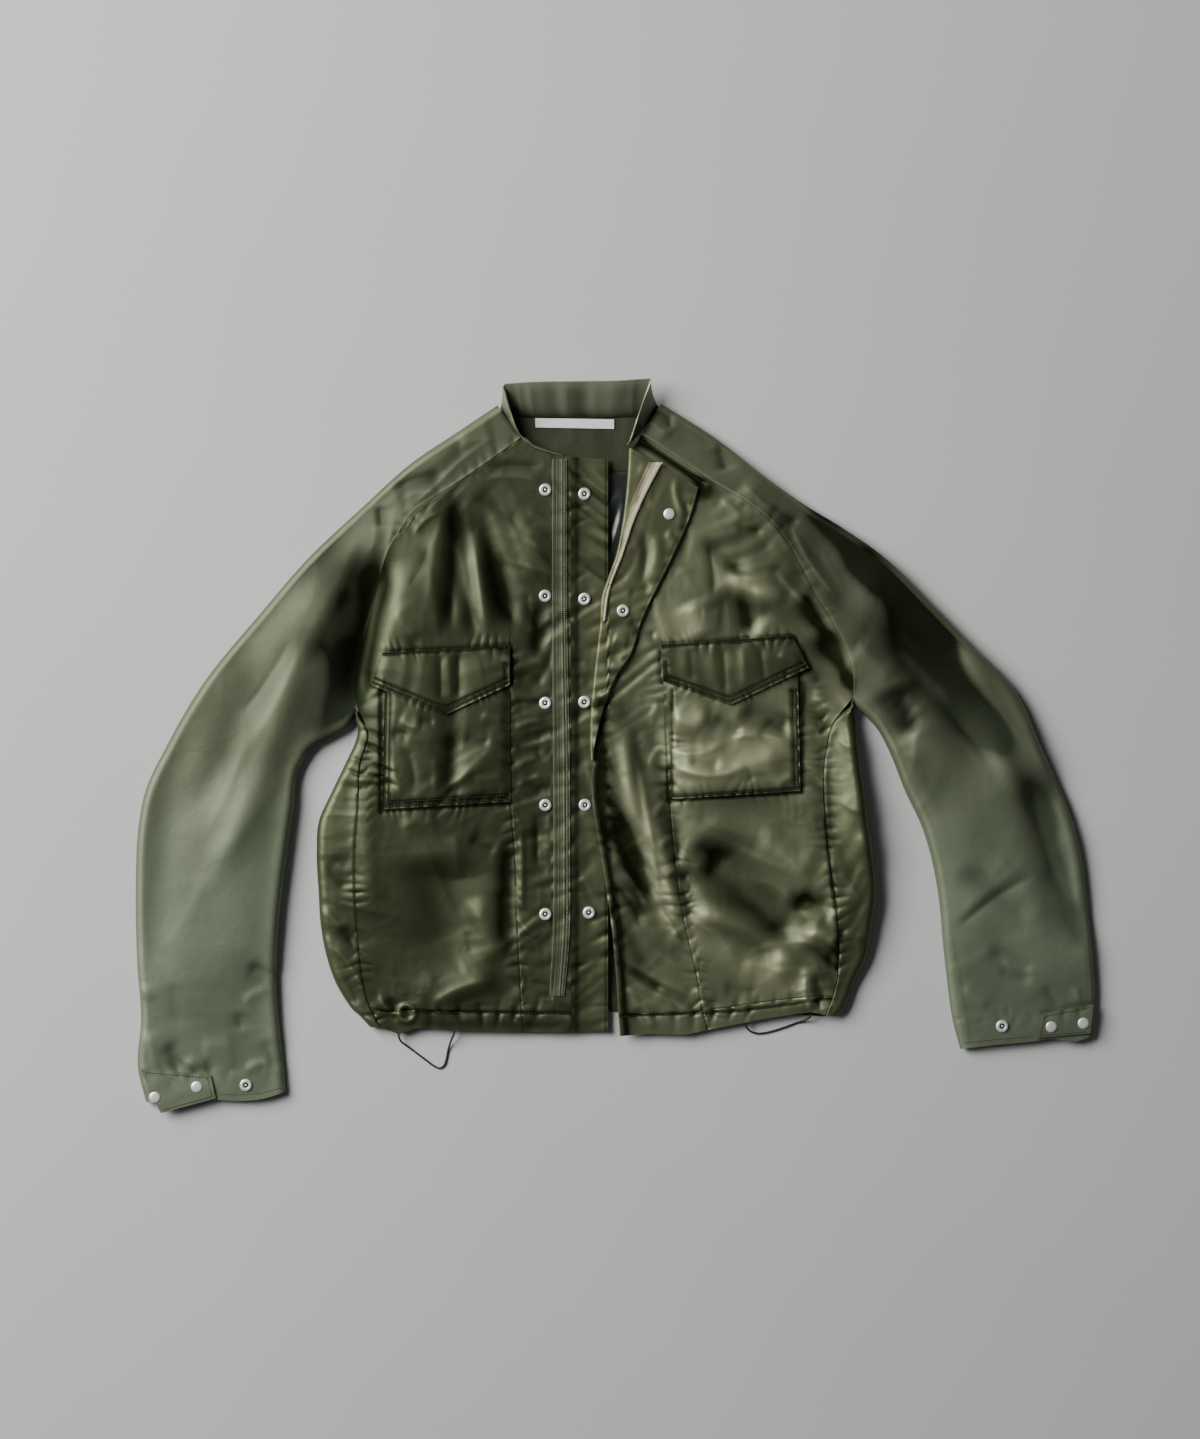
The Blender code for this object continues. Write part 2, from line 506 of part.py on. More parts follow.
def side_half(way, edge, front, tube):
    """One side of the body below the underarm: the back's strip on top, then its roll to the surface.

    Its rows have the front's own side points. The last row follows the end of the sleeve's roll.
    """
    seam = front[:SIDE_ROWS + 1, 0]
    level = seam[:, 1]
    side = spline(BODY, level)[:, edge]
    tangent = side + way * ROLL
    reach = np.maximum(way * (seam[:, 0] - tangent) - SEAM, MIN_STRIP)
    strip = np.linspace(1, 0, STRIP_CELLS + 1)[:-1]
    over = tangent[:, None] + way * reach[:, None] * strip
    level = np.repeat(level[:, None], ROLL_CELLS + 1, axis=1)
    height = top(over, level[:, :STRIP_CELLS])
    flap = np.stack([over, level[:, :STRIP_CELLS], height], axis=-1)
    turn = np.linspace(90, -90, ROLL_CELLS + 1) * np.pi / 180
    half = (top(tangent, level[:, 0])[:, None] - FLOOR) / 2
    x = side[:, None] + way * ROLL * (1 - np.cos(turn))
    roll = np.stack([x, level, FLOOR + half * (1 + np.sin(turn))], axis=-1)
    rows = np.concatenate([flap, roll], axis=1)
    end = tube[ARM_ROWS, TOP_CELLS:TOP_CELLS + 1 + ROLL_CELLS].copy()
    end[:, 1] += UNDERARM_GAP
    end[:, 0] += way * ROLL_GAP * SEAM
    rows[-1, STRIP_CELLS:] = end
    line = np.interp(-end[0, 1], -seam[-2:, 1], seam[-2:, 0])
    rows[-1, :STRIP_CELLS] = end[0]
    rows[-1, :STRIP_CELLS, 0] += (line - way * END_GAP * SEAM - end[0, 0]) * strip
    return rows


def build_back(tubes, fronts):
    """The back panel: flat on the surface, and rolled up and over at both sides to the side seams.

    Above the underarms only the flat columns go on, between the sleeves' lower edges.
    """
    left = side_half(1, 0, fronts["right"], tubes["right"])
    right = side_half(-1, 1, fronts["left"], tubes["left"])[:, ::-1]
    share = np.linspace(0, 1, FLOOR_CELLS + 1)[:, None]
    floor = left[:, -1:] * (1 - share[1:-1]) + right[:, :1] * share[1:-1]
    body = np.concatenate([left, floor, right], axis=1)
    hem = np.array(BACK_HEM, float)
    first = STRIP_CELLS + ROLL_CELLS
    inside = slice(first + 1, first + FLOOR_CELLS)
    drop = np.interp(body[0, inside, 0], hem[:, 0], hem[:, 1]) - body[0, inside, 1]
    body[0, inside, 1] += drop
    body[1, inside, 1] += drop / 2
    low = TOP_CELLS + ROLL_CELLS
    west = beside(tubes["right"][ARM_ROWS:, low, :2], SEAM)[1:]
    east = beside(tubes["left"][ARM_ROWS:, low, :2], -SEAM)[1:]
    yoke = west[:, None] * (1 - share) + east[:, None] * share
    yoke[-1, :, 1] += BACK_NECK_DROP * np.minimum(1, 3 * np.sin(np.pi * share[:, 0]))
    above = np.repeat(body[-1:], len(west), axis=0)
    above[:, first:first + FLOOR_CELLS + 1, :2] = yoke
    points = np.concatenate([body, above])
    mask = np.ones((len(points) - 1, body.shape[1] - 1), bool)
    mask[SIDE_ROWS:, :first] = False
    mask[SIDE_ROWS:, first + FLOOR_CELLS:] = False
    below = normals(body)
    below = below * -np.sign(below[3, first + 3, 2])
    normal = np.zeros_like(points)
    normal[:SIDE_ROWS + 1] = below
    normal[:, first:first + FLOOR_CELLS + 1] = (0, 0, -1)
    normal[:, 0] = (0, 0, 1)
    normal[:, -1] = (0, 0, 1)
    cloth(wall("back", points, normal, mask=mask), 0.9)


def locate(panel, plan):
    """Fractional row and column of plan points in a panel's grid, by Newton steps on its cells."""
    rows, columns = panel.shape[:2]
    flat = panel[..., :2].reshape(-1, 2)
    points = plan.reshape(-1, 2)
    nearest = np.argmin(((points[:, None] - flat) ** 2).sum(-1), axis=1)
    index = np.column_stack(np.unravel_index(nearest, (rows, columns))).astype(float)
    for _ in range(12):
        here, down, over = cell(panel[..., :2], index, slopes=True)
        miss = points - here
        area = down[:, 0] * over[:, 1] - down[:, 1] * over[:, 0]
        area = np.where(np.abs(area) < 1e-6, 1e-6, area)
        index[:, 0] += (miss[:, 0] * over[:, 1] - miss[:, 1] * over[:, 0]) / area
        index[:, 1] += (down[:, 0] * miss[:, 1] - down[:, 1] * miss[:, 0]) / area
        index = np.clip(index, 0, (rows - 1, columns - 1))
    return index


def cell(panel, index, slopes=False):
    """A grid read between its points, straight across each cell."""
    low = np.minimum(index.astype(int), np.array(panel.shape[:2]) - 2)
    s, t = (index - low).T[..., None]
    r, c = low.T
    a, b = panel[r, c], panel[r + 1, c]
    d, e = panel[r, c + 1], panel[r + 1, c + 1]
    here = (1 - s) * ((1 - t) * a + t * d) + s * ((1 - t) * b + t * e)
    if not slopes:
        return here
    return here, (1 - t) * (b - a) + t * (e - d), (1 - s) * (d - a) + s * (e - b)


def laid(panel, plan, lift):
    """Plan points laid on a panel: its own points, moved out along its normals by lift."""
    normal = upward(normals(panel))
    index = locate(panel, plan)
    here = cell(panel, index)
    out = cell(normal, index)
    out /= np.linalg.norm(out, axis=1, keepdims=True)
    points = here + out * lift
    return points.reshape(*plan.shape[:-1], 3), out.reshape(*plan.shape[:-1], 3)


def four_sided(corners, rows, columns):
    """Plan grid between four corners, first row from the first to the second."""
    a, b, c, d = np.array(corners, float)
    s = np.linspace(0, 1, rows + 1)[:, None, None]
    t = np.linspace(0, 1, columns + 1)[None, :, None]
    return (1 - s) * ((1 - t) * a + t * b) + s * ((1 - t) * d + t * c)


def build_pocket(side, panel, corners):
    """A patch pocket on a front."""
    points, normal = laid(panel, four_sided(corners, *POCKET_CELLS), CLOTH + LAY)
    cloth(wall(f"pocket_{side}", points, normal))


def build_flap(side, panel, corners):
    """A pointed pocket flap: straight upper edge, and two straight lower edges to its tip."""
    a, b, c, tip, d = np.array(corners, float)
    rows, columns = FLAP_CELLS
    share = np.linspace(0, 1, columns + 1)
    upper = straight((a, b), share)
    lower = straight((d, tip, c), share)
    s = np.linspace(0, 1, rows + 1)[:, None, None]
    points, normal = laid(panel, (1 - s) * upper + s * lower, FLAP_LIFT)
    cloth(wall(f"flap_{side}", points, normal), 1.05)


def build_strip(front):
    """The placket strip that carries the lower snap halves, beside the right front."""
    rows = front[:, -1]
    left = rows[:, :1] + SEAM
    share = np.array(STRIP_SHARES)
    x = left * (1 - share) + STRIP_EDGE * share
    y = np.repeat(rows[:, 1:2], len(share), axis=1)
    y[-1] += STRIP_NECK * share
    z = top(x, y) - STRIP_DROP * step_up((x - left) / STRIP_STEP)
    z[:, 0] = rows[:, 2]
    points = np.stack([x, y, z], axis=-1)
    normal = upward(normals(points))
    normal[:, 0] = (0, 0, 1)
    cloth(wall("placket_strip", points, normal))
    return points


def build_fly(front):
    """The front edge turned back on itself: half a roll at the fold, then flat on the left front."""
    share = np.linspace(0, 1, FLY_ROWS + 1)
    level = FOLD_LINE[0][1] + (FLY_END - FOLD_LINE[0][1]) * share
    fold = np.column_stack([spline([point[::-1] for point in FOLD_LINE], level)[:, 0], level])
    free = outline(FREE_EDGE, share)
    turn = np.linspace(-90, 90, ROLL_CELLS + 1)[:, None] * np.pi / 180
    roll_x = fold[:, 0] + FOLD * (1 - np.cos(turn))
    base = top(fold[:, 0] + FOLD, fold[:, 1])
    roll_y = np.repeat(fold[None, :, 1], ROLL_CELLS + 1, axis=0)
    roll = np.stack([roll_x, roll_y, base + FOLD * (1 + np.sin(turn))], axis=-1)
    across = np.linspace(0, 1, FLY_CELLS + 1)[1:, None, None]
    start = roll[-1, :, :2]
    plan = start * (1 - across) + free * across
    flat = raised(plan, 2 * FOLD + FLY_LIFT * across[..., 0] * step_up(share))
    points = np.concatenate([roll, flat]).transpose(1, 0, 2)
    normal = normals(points)
    normal = normal * np.sign(normal[FLY_ROWS // 2, -2, 2])
    normal[:, 0] = (0, 0, -1)
    cloth(wall("turned_fly", points, normal), 1.1)
    return points[:, ROLL_CELLS:]


def build_collar():
    """The stand collar: straight lines from its neck seam up to its upper edge."""
    share = np.linspace(0, 1, COLLAR_COLUMNS + 1)
    key = np.linspace(0, 1, len(COLLAR))
    lines = spline(np.column_stack([key, COLLAR]), share)
    s = np.linspace(0, 1, COLLAR_ROWS + 1)[:, None, None]
    seam, edge = lines[:, :3], lines[:, 3:]
    points = (1 - s) * seam + s * edge
    normal = normals(points)
    cloth(wall("collar", points, normal, thick=BAND), 1.1)


def build_inside():
    """The back facing, the lining that shows in the slit, and the bare neck label."""
    level = FLOOR + CLOTH + LAY
    up = np.array((0.0, 0.0, 1.0))
    tag_level = level + (CLOTH + TAPE) / 2 + LAY
    for name, corners, cells, height, thick, colour, roughness in (
        ("back_facing", FACING, FACING_CELLS, level, CLOTH, OLIVE, 0.42),
        ("lining", LINING, LINING_CELLS, level, CLOTH, NIGHT, 0.3),
        ("label", LABEL, LABEL_CELLS, tag_level, TAPE, PALE, 0.6),
    ):
        plan = four_sided(corners, *cells)
        points = np.concatenate([plan, np.full((*plan.shape[:2], 1), height)], axis=-1)
        finish(wall(name, points, np.broadcast_to(up, points.shape), thick=thick), colour, roughness)


def build_zip(name, panel, table, colour):
    """One half of the zip: a tape that lies on a panel between two edges."""
    rows, columns = ZIP_CELLS
    y = np.linspace(table[0][0], table[-1][0], rows + 1)
    edges = spline(table, y)
    share = np.linspace(0, 1, columns + 1)[:, None]
    x = edges[:, 0] * (1 - share) + edges[:, 1] * share
    plan = np.stack([x, np.repeat(y[None], columns + 1, axis=0)], axis=-1)
    points, normal = laid(panel, plan, (CLOTH + TAPE) / 2 + LAY)
    finish(wall(name, points, normal, thick=TAPE), colour, 0.6)


def build_tab(side, corners):
    """A cuff tab that lies on the sleeve's end."""
    plan = four_sided(corners, *TAB_CELLS)
    points = raised(plan, TAB_LIFT)
    cloth(wall(f"tab_{side}", points, upward(normals(points))), 1.1)
    return points


def build_snap(name, panel, place, radius, profile):
    """A snap fastener turned round the normal of the cloth that it sits on."""
    here, out = laid(panel, np.array([[place]], float), CLOTH / 2 + LAY)
    centre, axis = here[0, 0], out[0, 0]
    across = np.cross(axis, (0.0, 1.0, 0.0))
    across /= np.linalg.norm(across)
    other = np.cross(axis, across)
    angle = np.arange(SNAP_SIDES) * 2 * np.pi / SNAP_SIDES
    spoke = np.cos(angle)[:, None] * across + np.sin(angle)[:, None] * other
    rings = [centre + axis * SNAP_HEIGHT * h + spoke * radius * r for r, h in profile[1:]]
    middle = centre + axis * SNAP_HEIGHT * profile[0][1]
    vertices = np.concatenate([middle[None], *rings, centre[None]])
    faces = []
    for k in range(SNAP_SIDES):
        after = (k + 1) % SNAP_SIDES
        faces.append((0, 1 + k, 1 + after))
        for ring in range(len(rings) - 1):
            a, b = 1 + ring * SNAP_SIDES + k, 1 + ring * SNAP_SIDES + after
            faces.append((a, a + SNAP_SIDES, b + SNAP_SIDES))
            faces.append((a, b + SNAP_SIDES, b))
        a = 1 + (len(rings) - 1) * SNAP_SIDES
        faces.append((a + k, len(vertices) - 1, a + after))
    vertices = turned(vertices - (SHEET_X, SHEET_Y, 0))
    faces = np.array(faces)
    a, b, c = (vertices[faces[:, k]] for k in range(3))
    if np.sum(np.cross(a, b) * c) < 0:
        faces = faces[:, ::-1]
    finish(solid(f"snap_{name}", vertices * MM, faces), METAL, 0.25, 1.0)


def build_cord(name, route):
    """One loop of the hem's drawcord, a round tube along a smooth line."""
    line = outline(route, np.linspace(0, 1, CORD_POINTS))
    curve = bpy.data.curves.new(name, "CURVE")
    curve.dimensions = "3D"
    curve.bevel_depth = CORD_DIAMETER / 2 * MM
    curve.bevel_resolution = 2
    curve.use_fill_caps = True
    spline_curve = curve.splines.new("POLY")
    spline_curve.points.add(len(line) - 1)
    for point, (x, y, z) in zip(spline_curve.points, line):
        point.co = ((x - SHEET_X) * MM, (SHEET_Y - y) * MM, z * MM, 1.0)
    piece = bpy.data.objects.new(name, curve)
    bpy.context.collection.objects.link(piece)
    finish(piece, BLACK, 0.6)


SLEEVES = {"right": RIGHT_SLEEVE, "left": LEFT_SLEEVE}
FRONT_LINE = {"right": ((571, 457), (571, 1031)), "left": FOLD_LINE}


def main():
    """The whole jacket, panels first and then what lies on them."""
    for old in list(bpy.data.objects):
        bpy.data.objects.remove(old)
    right_top, right_tube = build_sleeve("right")
    left_top, left_tube = build_sleeve("left")
    front = build_front("right", RIGHT_FRONT, RIGHT_HEM, right_top, 0.0)
    left_front = build_front("left", LEFT_FRONT, LEFT_HEM, left_top, FOLD + 1.5 * SEAM)
    build_back({"right": right_tube, "left": left_tube}, {"right": front, "left": left_front})
    build_pocket("right", front, RIGHT_POCKET)
    build_pocket("left", left_front, LEFT_POCKET)
    build_flap("right", front, RIGHT_FLAP)
    build_flap("left", left_front, LEFT_FLAP)
    strip = build_strip(front)
    fly = build_fly(left_front)
    build_collar()
    build_inside()
    build_zip("zip_right", front, RIGHT_ZIP, OLIVE_TAPE)
    build_zip("zip_left", fly, LEFT_ZIP, CREAM_TAPE)
    carriers = {
        "front": front, "strip": strip, "fly": fly, "right sleeve": right_top, "left sleeve": left_top,
        "right tab": build_tab("right", RIGHT_TAB), "left tab": build_tab("left", LEFT_TAB),
    }
    for name, x, y, carrier, kind in SNAPS:
        ring = kind == "ring"
        radius, profile = (SNAP_RADIUS, RING_PROFILE) if ring else (CAP_RADIUS, CAP_PROFILE)
        build_snap(name, carriers[carrier], (x, y), radius, profile)
    build_cord("drawcord_right", RIGHT_CORD)
    build_cord("drawcord_left", LEFT_CORD)


main()
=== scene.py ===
# %% [markdown]
# # A field jacket laid out flat
#
# The jacket lies open on its back. Every panel is a grid of points on a lay-out sheet 1200 mm wide
# and 1439 mm tall, x to the right and y down, and one height function lifts all the upper cloth.
# Folds, creases and seam puckers are rows of short tables that this function adds up, so a pocket
# or a stitch that is lifted by the same function always follows the cloth below it.

import bpy
import numpy as np
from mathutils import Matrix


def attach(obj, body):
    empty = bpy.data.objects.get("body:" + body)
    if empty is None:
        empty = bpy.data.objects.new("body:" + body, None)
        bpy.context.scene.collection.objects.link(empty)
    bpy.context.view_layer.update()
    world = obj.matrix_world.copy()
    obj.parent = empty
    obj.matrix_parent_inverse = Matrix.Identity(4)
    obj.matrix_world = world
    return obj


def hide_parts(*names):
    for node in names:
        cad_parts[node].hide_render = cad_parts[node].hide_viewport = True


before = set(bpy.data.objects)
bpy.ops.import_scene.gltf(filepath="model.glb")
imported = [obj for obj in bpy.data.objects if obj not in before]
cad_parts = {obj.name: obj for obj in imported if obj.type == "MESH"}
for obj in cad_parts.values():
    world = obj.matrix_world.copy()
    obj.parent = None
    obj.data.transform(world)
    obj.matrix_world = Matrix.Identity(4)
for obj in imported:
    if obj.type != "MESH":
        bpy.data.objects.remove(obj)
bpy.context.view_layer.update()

# %% [markdown]
# ## The sheet, its outlines and sizes
#
# Lengths in millimetres. "Right" and "left" are the wearer's, so right lies on the sheet's left.

# %%
MM = 0.001
SHEET = (1200, 1439)
ORIGIN = (615.39, 746.45, 0)  # the frame's origin on the sheet
UP, DOWN = (0.0, 0.0, 1.0), (0.0, 0.0, -1.0)
SHELL = 0.9  # wall of the cloth
FLOOR = 0.75  # middle of the cloth that lies on the surface
ROLL = 8.0  # how far the cloth's roll at a side reaches inward
FOLD = 2.3  # radius of the roll at the turned-back front edge
SEAM = 0.4  # half the gap along a seam
STRIP_DROP, STRIP_STEP = 2.8, 6.0  # how far the strip drops below the front, and within what
STRIP_START, STRIP_EDGE = 571 + SEAM, 608.0  # its two long edges
FLY_END = 760  # where the turned-back edge ends
ARM_SHARE = {"right": 0.67, "left": 0.66}  # part of a sleeve's outer line below the underarm

RIGHT_SLEEVE = {
    "outer": (
        (146, 1102), (138, 1069), (141, 1020), (137, 958), (136, 879), (138, 832), (145, 793),
        (168, 744), (202, 686), (262, 612), (307, 560), (363, 507), (412, 463), (455, 434),
        (497.5, 405.5),
    ),
    "inner": (
        (285, 1092), (282, 1057), (278, 1018), (276, 988), (277, 949), (281, 899), (286, 860),
        (293, 809), (299, 768), (312, 748), (330, 738), (347, 728), (359, 715),
    ),
    "cuff": (
        (146, 1102), (170, 1104), (195, 1101), (215, 1100), (237, 1101), (262, 1099), (285, 1092),
    ),
    "raglan": (
        (359, 715), (355, 688), (360, 655), (370, 615), (379, 580), (388, 552), (398, 534),
        (414, 511), (431, 499), (455, 484), (487, 462), (520.5, 438),
    ),
    "neck": ((497.5, 405.5), (509, 421.5), (520.5, 438)),
}
LEFT_SLEEVE = {
    "outer": (
        (1093, 1036), (1095, 1001), (1091, 940), (1086, 890), (1081, 854), (1067, 804), (1042, 750),
        (1017, 694), (966, 640), (932, 605), (882, 556), (839, 526), (806, 506), (766, 478),
        (716, 439), (661, 404),
    ),
    "inner": (
        (961, 1049), (954, 1023), (947, 975), (943, 940), (940, 906), (933, 864), (923, 829),
        (905, 790), (888, 748), (877, 728), (865, 715), (852, 705),
    ),
    "cuff": ((1093, 1036), (1072, 1042), (1055, 1039), (1029, 1042), (995, 1045), (961, 1049)),
    "raglan": (
        (852, 705), (853, 680), (846, 649), (832, 622), (816, 596), (799, 562), (781, 533),
        (765, 516), (743, 500), (716, 484), (676, 457), (641.5, 434.5),
    ),
    "neck": ((661, 404), (651.5, 420), (641.5, 434.5)),
}
SLEEVES = {"right": RIGHT_SLEEVE, "left": LEFT_SLEEVE}

# y, left side, right side of the body, from the underarm down
BODY = (
    (705, 358, 853), (738, 357, 857), (763, 346, 860), (790, 333, 864), (822, 319, 868),
    (850, 317, 872), (894, 319, 876), (925, 321, 872), (957, 327, 866), (985, 337, 853),
    (1002, 347, 847), (1010, 353, 843), (1016, 360, 837), (1027, 370, 828),
)
BACK_HEM = ((340, 1022), (376, 1024), (480, 1016), (613, 1012), (740, 1014), (870, 1018))

# row, side x, side y, pocket edge x, yoke seam x, front x, front y
RIGHT_FRONT = (
    (0, 381, 1027, 402, 524, 571, 1031), (1, 371, 1008, 394, 522, 571, 1013),
    (3, 362, 970, 388, 520, 571, 976), (5, 357, 914, 384, 517, 571, 914),
    (7, 356, 857, 383, 515, 571, 852), (9, 359, 811, 383, 511, 571, 799),
    (11, 362, 760, 384, 510, 571, 747), (12, 369, 735, 386, 510, 571, 721),
    (13, 362, 709, 386, 510, 571, 694),
)
LEFT_FRONT = (
    (0, 825, 1015, 804, 708, 620, 1036), (1, 832, 997, 806, 703, 618.5, 1017),
    (3, 838, 962, 806, 696, 616, 975), (5, 836, 912, 804, 684, 611, 922),
    (7, 829, 862, 802, 676, 603, 868), (9, 823, 800, 800, 670, 593, 806),
    (11, 825, 754, 799, 666, 590.5, 757), (12, 831, 726, 798, 664, 590, 732),
    (13, 849, 698, 797, 663, 592, 706),
)
FOLD_LINE = (
    (629, 449), (628, 471), (625, 504), (621, 532), (616, 556), (607, 581), (602, 596), (600, 624),
    (597, 650), (593, 686), (590.5, 716), (590, 747), (590.5, FLY_END),
)
FREE_EDGE = (
    (698, 488), (691, 513), (673, 555), (642, 619), (627, 660), (621, 668), (604, 707),
    (597.5, 732), (594, 750), (593.3, FLY_END),
)
RIGHT_HEM = (
    (381, 1027), (399, 1034), (413, 1029), (424, 1028), (459, 1031), (520, 1032), (571, 1032),
)
LEFT_HEM = (
    (620, 1036), (647, 1034), (685, 1035), (708, 1030), (769, 1018), (811, 1012), (825, 1015),
)
NECKLINE = {
    "right": ((519, 440), (532, 447), (549, 455), (571, 457)),
    "left": ((643, 436), (637, 443), (629, 449)),
}
FRONT_LINE = {"right": ((571, 457), (571, 1031)), "left": FOLD_LINE}

# x, y, height of the collar's seam, then of its upper edge
COLLAR = (
    (550, 453.0, 12.0, 562, 455.5, 15.5), (534, 445.5, 13.0, 541, 450.0, 18.0),
    (521, 436.0, 13.0, 525, 441.0, 20.5), (512, 425.5, 12.5, 516, 428.0, 23.0),
    (505, 415.0, 10.0, 510, 411.0, 26.0), (501, 408.0, 9.0, 505.5, 394.0, 29.0),
    (505, 408.0, 7.0, 504, 386.5, 30.0), (518, 415.5, 4.8, 514, 385.0, 30.5),
    (545, 416.5, 4.6, 540, 383.5, 31.0), (580, 416.5, 4.6, 580, 383.0, 31.0),
    (612, 416.5, 4.6, 615, 382.5, 31.0), (640, 415.0, 4.8, 641, 380.8, 30.5),
    (653, 408.0, 7.0, 650, 381.0, 30.0), (658, 407.0, 9.0, 648.5, 388.0, 29.5),
    (654, 414.0, 10.5, 644, 399.5, 28.0), (647, 424.5, 12.5, 638, 417.0, 25.0),
    (640, 432.5, 13.0, 632.5, 434.0, 22.0), (629, 444.5, 13.5, 628.0, 446.0, 18.0),
)
FACING = ((501, 411), (657, 411), (640, 472), (519, 460))
LABEL = ((535, 417.8), (614, 419), (614, 428.5), (535.5, 427))
LINING = ((586, 474), (640, 474), (632, 610), (586, 610))
POCKETS = {
    "right": ((383, 809), (511, 801.5), (509.5, 660), (385.5, 670)),
    "left": ((669.5, 799), (800, 790.5), (797, 655), (662, 660)),
}
FLAPS = {
    "right": ((383, 653), (510, 645.5), (510, 685), (446, 715), (372, 685)),
    "left": ((661, 645), (792, 636), (808, 668), (730, 705), (663, 681)),
}
RIGHT_ZIP = (
    (459, 552.5, 567), (640, 552.3, 567.5), (740, 553, 569.5), (850, 553.5, 570),
    (935, 552.6, 569.5), (996, 549.5, 564.5),
)
LEFT_ZIP = (
    (463, 649, 662.5), (485, 639, 650.5), (520, 625.2, 634.5), (555, 618, 622.5),
    (590, 606.2, 609.2), (622, 602, 604.4),
)
TABS = {
    "right": ((141, 1069), (211, 1075), (216, 1098), (161, 1113)),
    "left": ((1093, 1004), (1041, 1014), (1036, 1038), (1090, 1033)),
}
SNAPS = (
    ("front_1", 545.4, 490, "front", "ring"), ("front_2", 545.2, 596, "front", "ring"),
    ("front_3", 545.4, 703, "front", "ring"), ("front_4", 545.5, 805, "front", "ring"),
    ("front_5", 545.5, 914, "front", "ring"), ("strip_1", 584.5, 494, "strip", "ring"),
    ("strip_2", 584.5, 599, "strip", "ring"), ("strip_3", 584.5, 702, "strip", "ring"),
    ("strip_4", 585, 805, "strip", "ring"), ("strip_5", 589, 912.5, "strip", "ring"),
    ("fly_1", 669, 514.5, "fly", "cap"), ("fly_2", 623, 611, "fly", "ring"),
    ("right_cuff_1", 246, 1085, "front", "ring"), ("right_cuff_2", 197, 1086.5, "tab", "cap"),
    ("right_cuff_3", 155, 1097, "tab", "cap"), ("left_cuff_1", 1002, 1026, "front", "ring"),
    ("left_cuff_2", 1051, 1026.6, "tab", "cap"), ("left_cuff_3", 1083, 1023, "tab", "cap"),
)
RIGHT_CORD = (
    (398.5, 1032.85, 10.5), (398.8, 1036.4, 9.9), (400.6, 1041.4, 6.6), (405, 1045.4, 2.7),
    (411, 1050, 1.15), (419, 1056, 1.15), (427, 1062, 1.15), (434, 1067, 1.15), (439.5, 1069, 1.15),
    (443.5, 1066.5, 1.15), (446, 1060, 1.15), (447.5, 1052, 1.3), (449.5, 1045, 3.2),
    (452, 1038.5, 7.2), (453.7, 1034.4, 9.3), (454, 1031.02, 9.55),
)
LEFT_CORD = (
    (811, 1013.45, 11.3), (810.5, 1016.0, 10.6), (808, 1018.8, 7.0), (803.5, 1021.4, 3.0),
    (797, 1023.6, 1.15), (790, 1026.2, 1.15), (782, 1029, 1.15), (773, 1031.8, 1.15),
    (765, 1033.6, 1.15), (758, 1034.2, 1.2), (752.5, 1032.8, 2.6), (748.6, 1029.8, 6.4),
    (746.1, 1026.4, 9.0), (745.5, 1023.5, 9.5),
)
print("chest", (BODY[0][2] - BODY[0][1]) / 10, "cm, sheet", *SHEET, "mm")

# %% [markdown]
# ## Heights: loft, folds, creases, puckers
#
# `LOFT` says how far the upper cloth stands above the lower one. A row of `FOLDS` or `SLOPES` is a
# ridge (positive) or a trough (negative) with a rounded section along a bowed line, and a row of
# `CREASES` has a crisper section with one steep side. `STREAKS` lays drawn-out uneven folds over
# whole regions. `PUCKERED` names the sewn lines that pull the cloth into short ladders. The table
# of painted shade and light changes no height: it paints shade by place, along folds, gaps and the
# edges of pieces, or with a negative amount painted light.

# %%
# x, y, height of the upper cloth above the lower cloth
LOFT = (
    (150, 1095, 8), (215, 1095, 8), (280, 1085, 9), (160, 1040, 12), (265, 1030, 12),
    (210, 960, 16), (170, 850, 17), (245, 850, 17), (210, 760, 18), (270, 690, 19),
    (320, 620, 18), (370, 560, 16), (430, 480, 14), (490, 425, 12), (330, 720, 10),
    (340, 860, 16), (340, 950, 15), (370, 1010, 10), (430, 900, 15), (430, 1010, 9),
    (500, 1015, 8), (560, 1015, 8), (440, 760, 16), (440, 660, 17), (430, 590, 18),
    (480, 520, 16), (540, 470, 13), (565, 600, 12), (565, 750, 12), (565, 900, 12),
    (600, 480, 13), (612, 600, 13), (605, 750, 13), (615, 900, 13), (620, 1015, 10),
    (700, 1020, 8), (800, 1005, 9), (850, 960, 14), (860, 880, 16), (850, 780, 16),
    (740, 900, 15), (740, 760, 16), (740, 660, 17), (760, 560, 18), (700, 500, 15),
    (650, 460, 13), (858, 705, 10), (680, 425, 12), (760, 480, 16), (830, 540, 17),
    (900, 600, 19), (960, 680, 19), (1000, 780, 19), (940, 800, 18), (1060, 850, 18),
    (1000, 900, 17), (1040, 980, 14), (980, 980, 14), (1085, 1030, 9), (1020, 1035, 8),
    (965, 1040, 8),
)
LOFT_REACH = 46.0

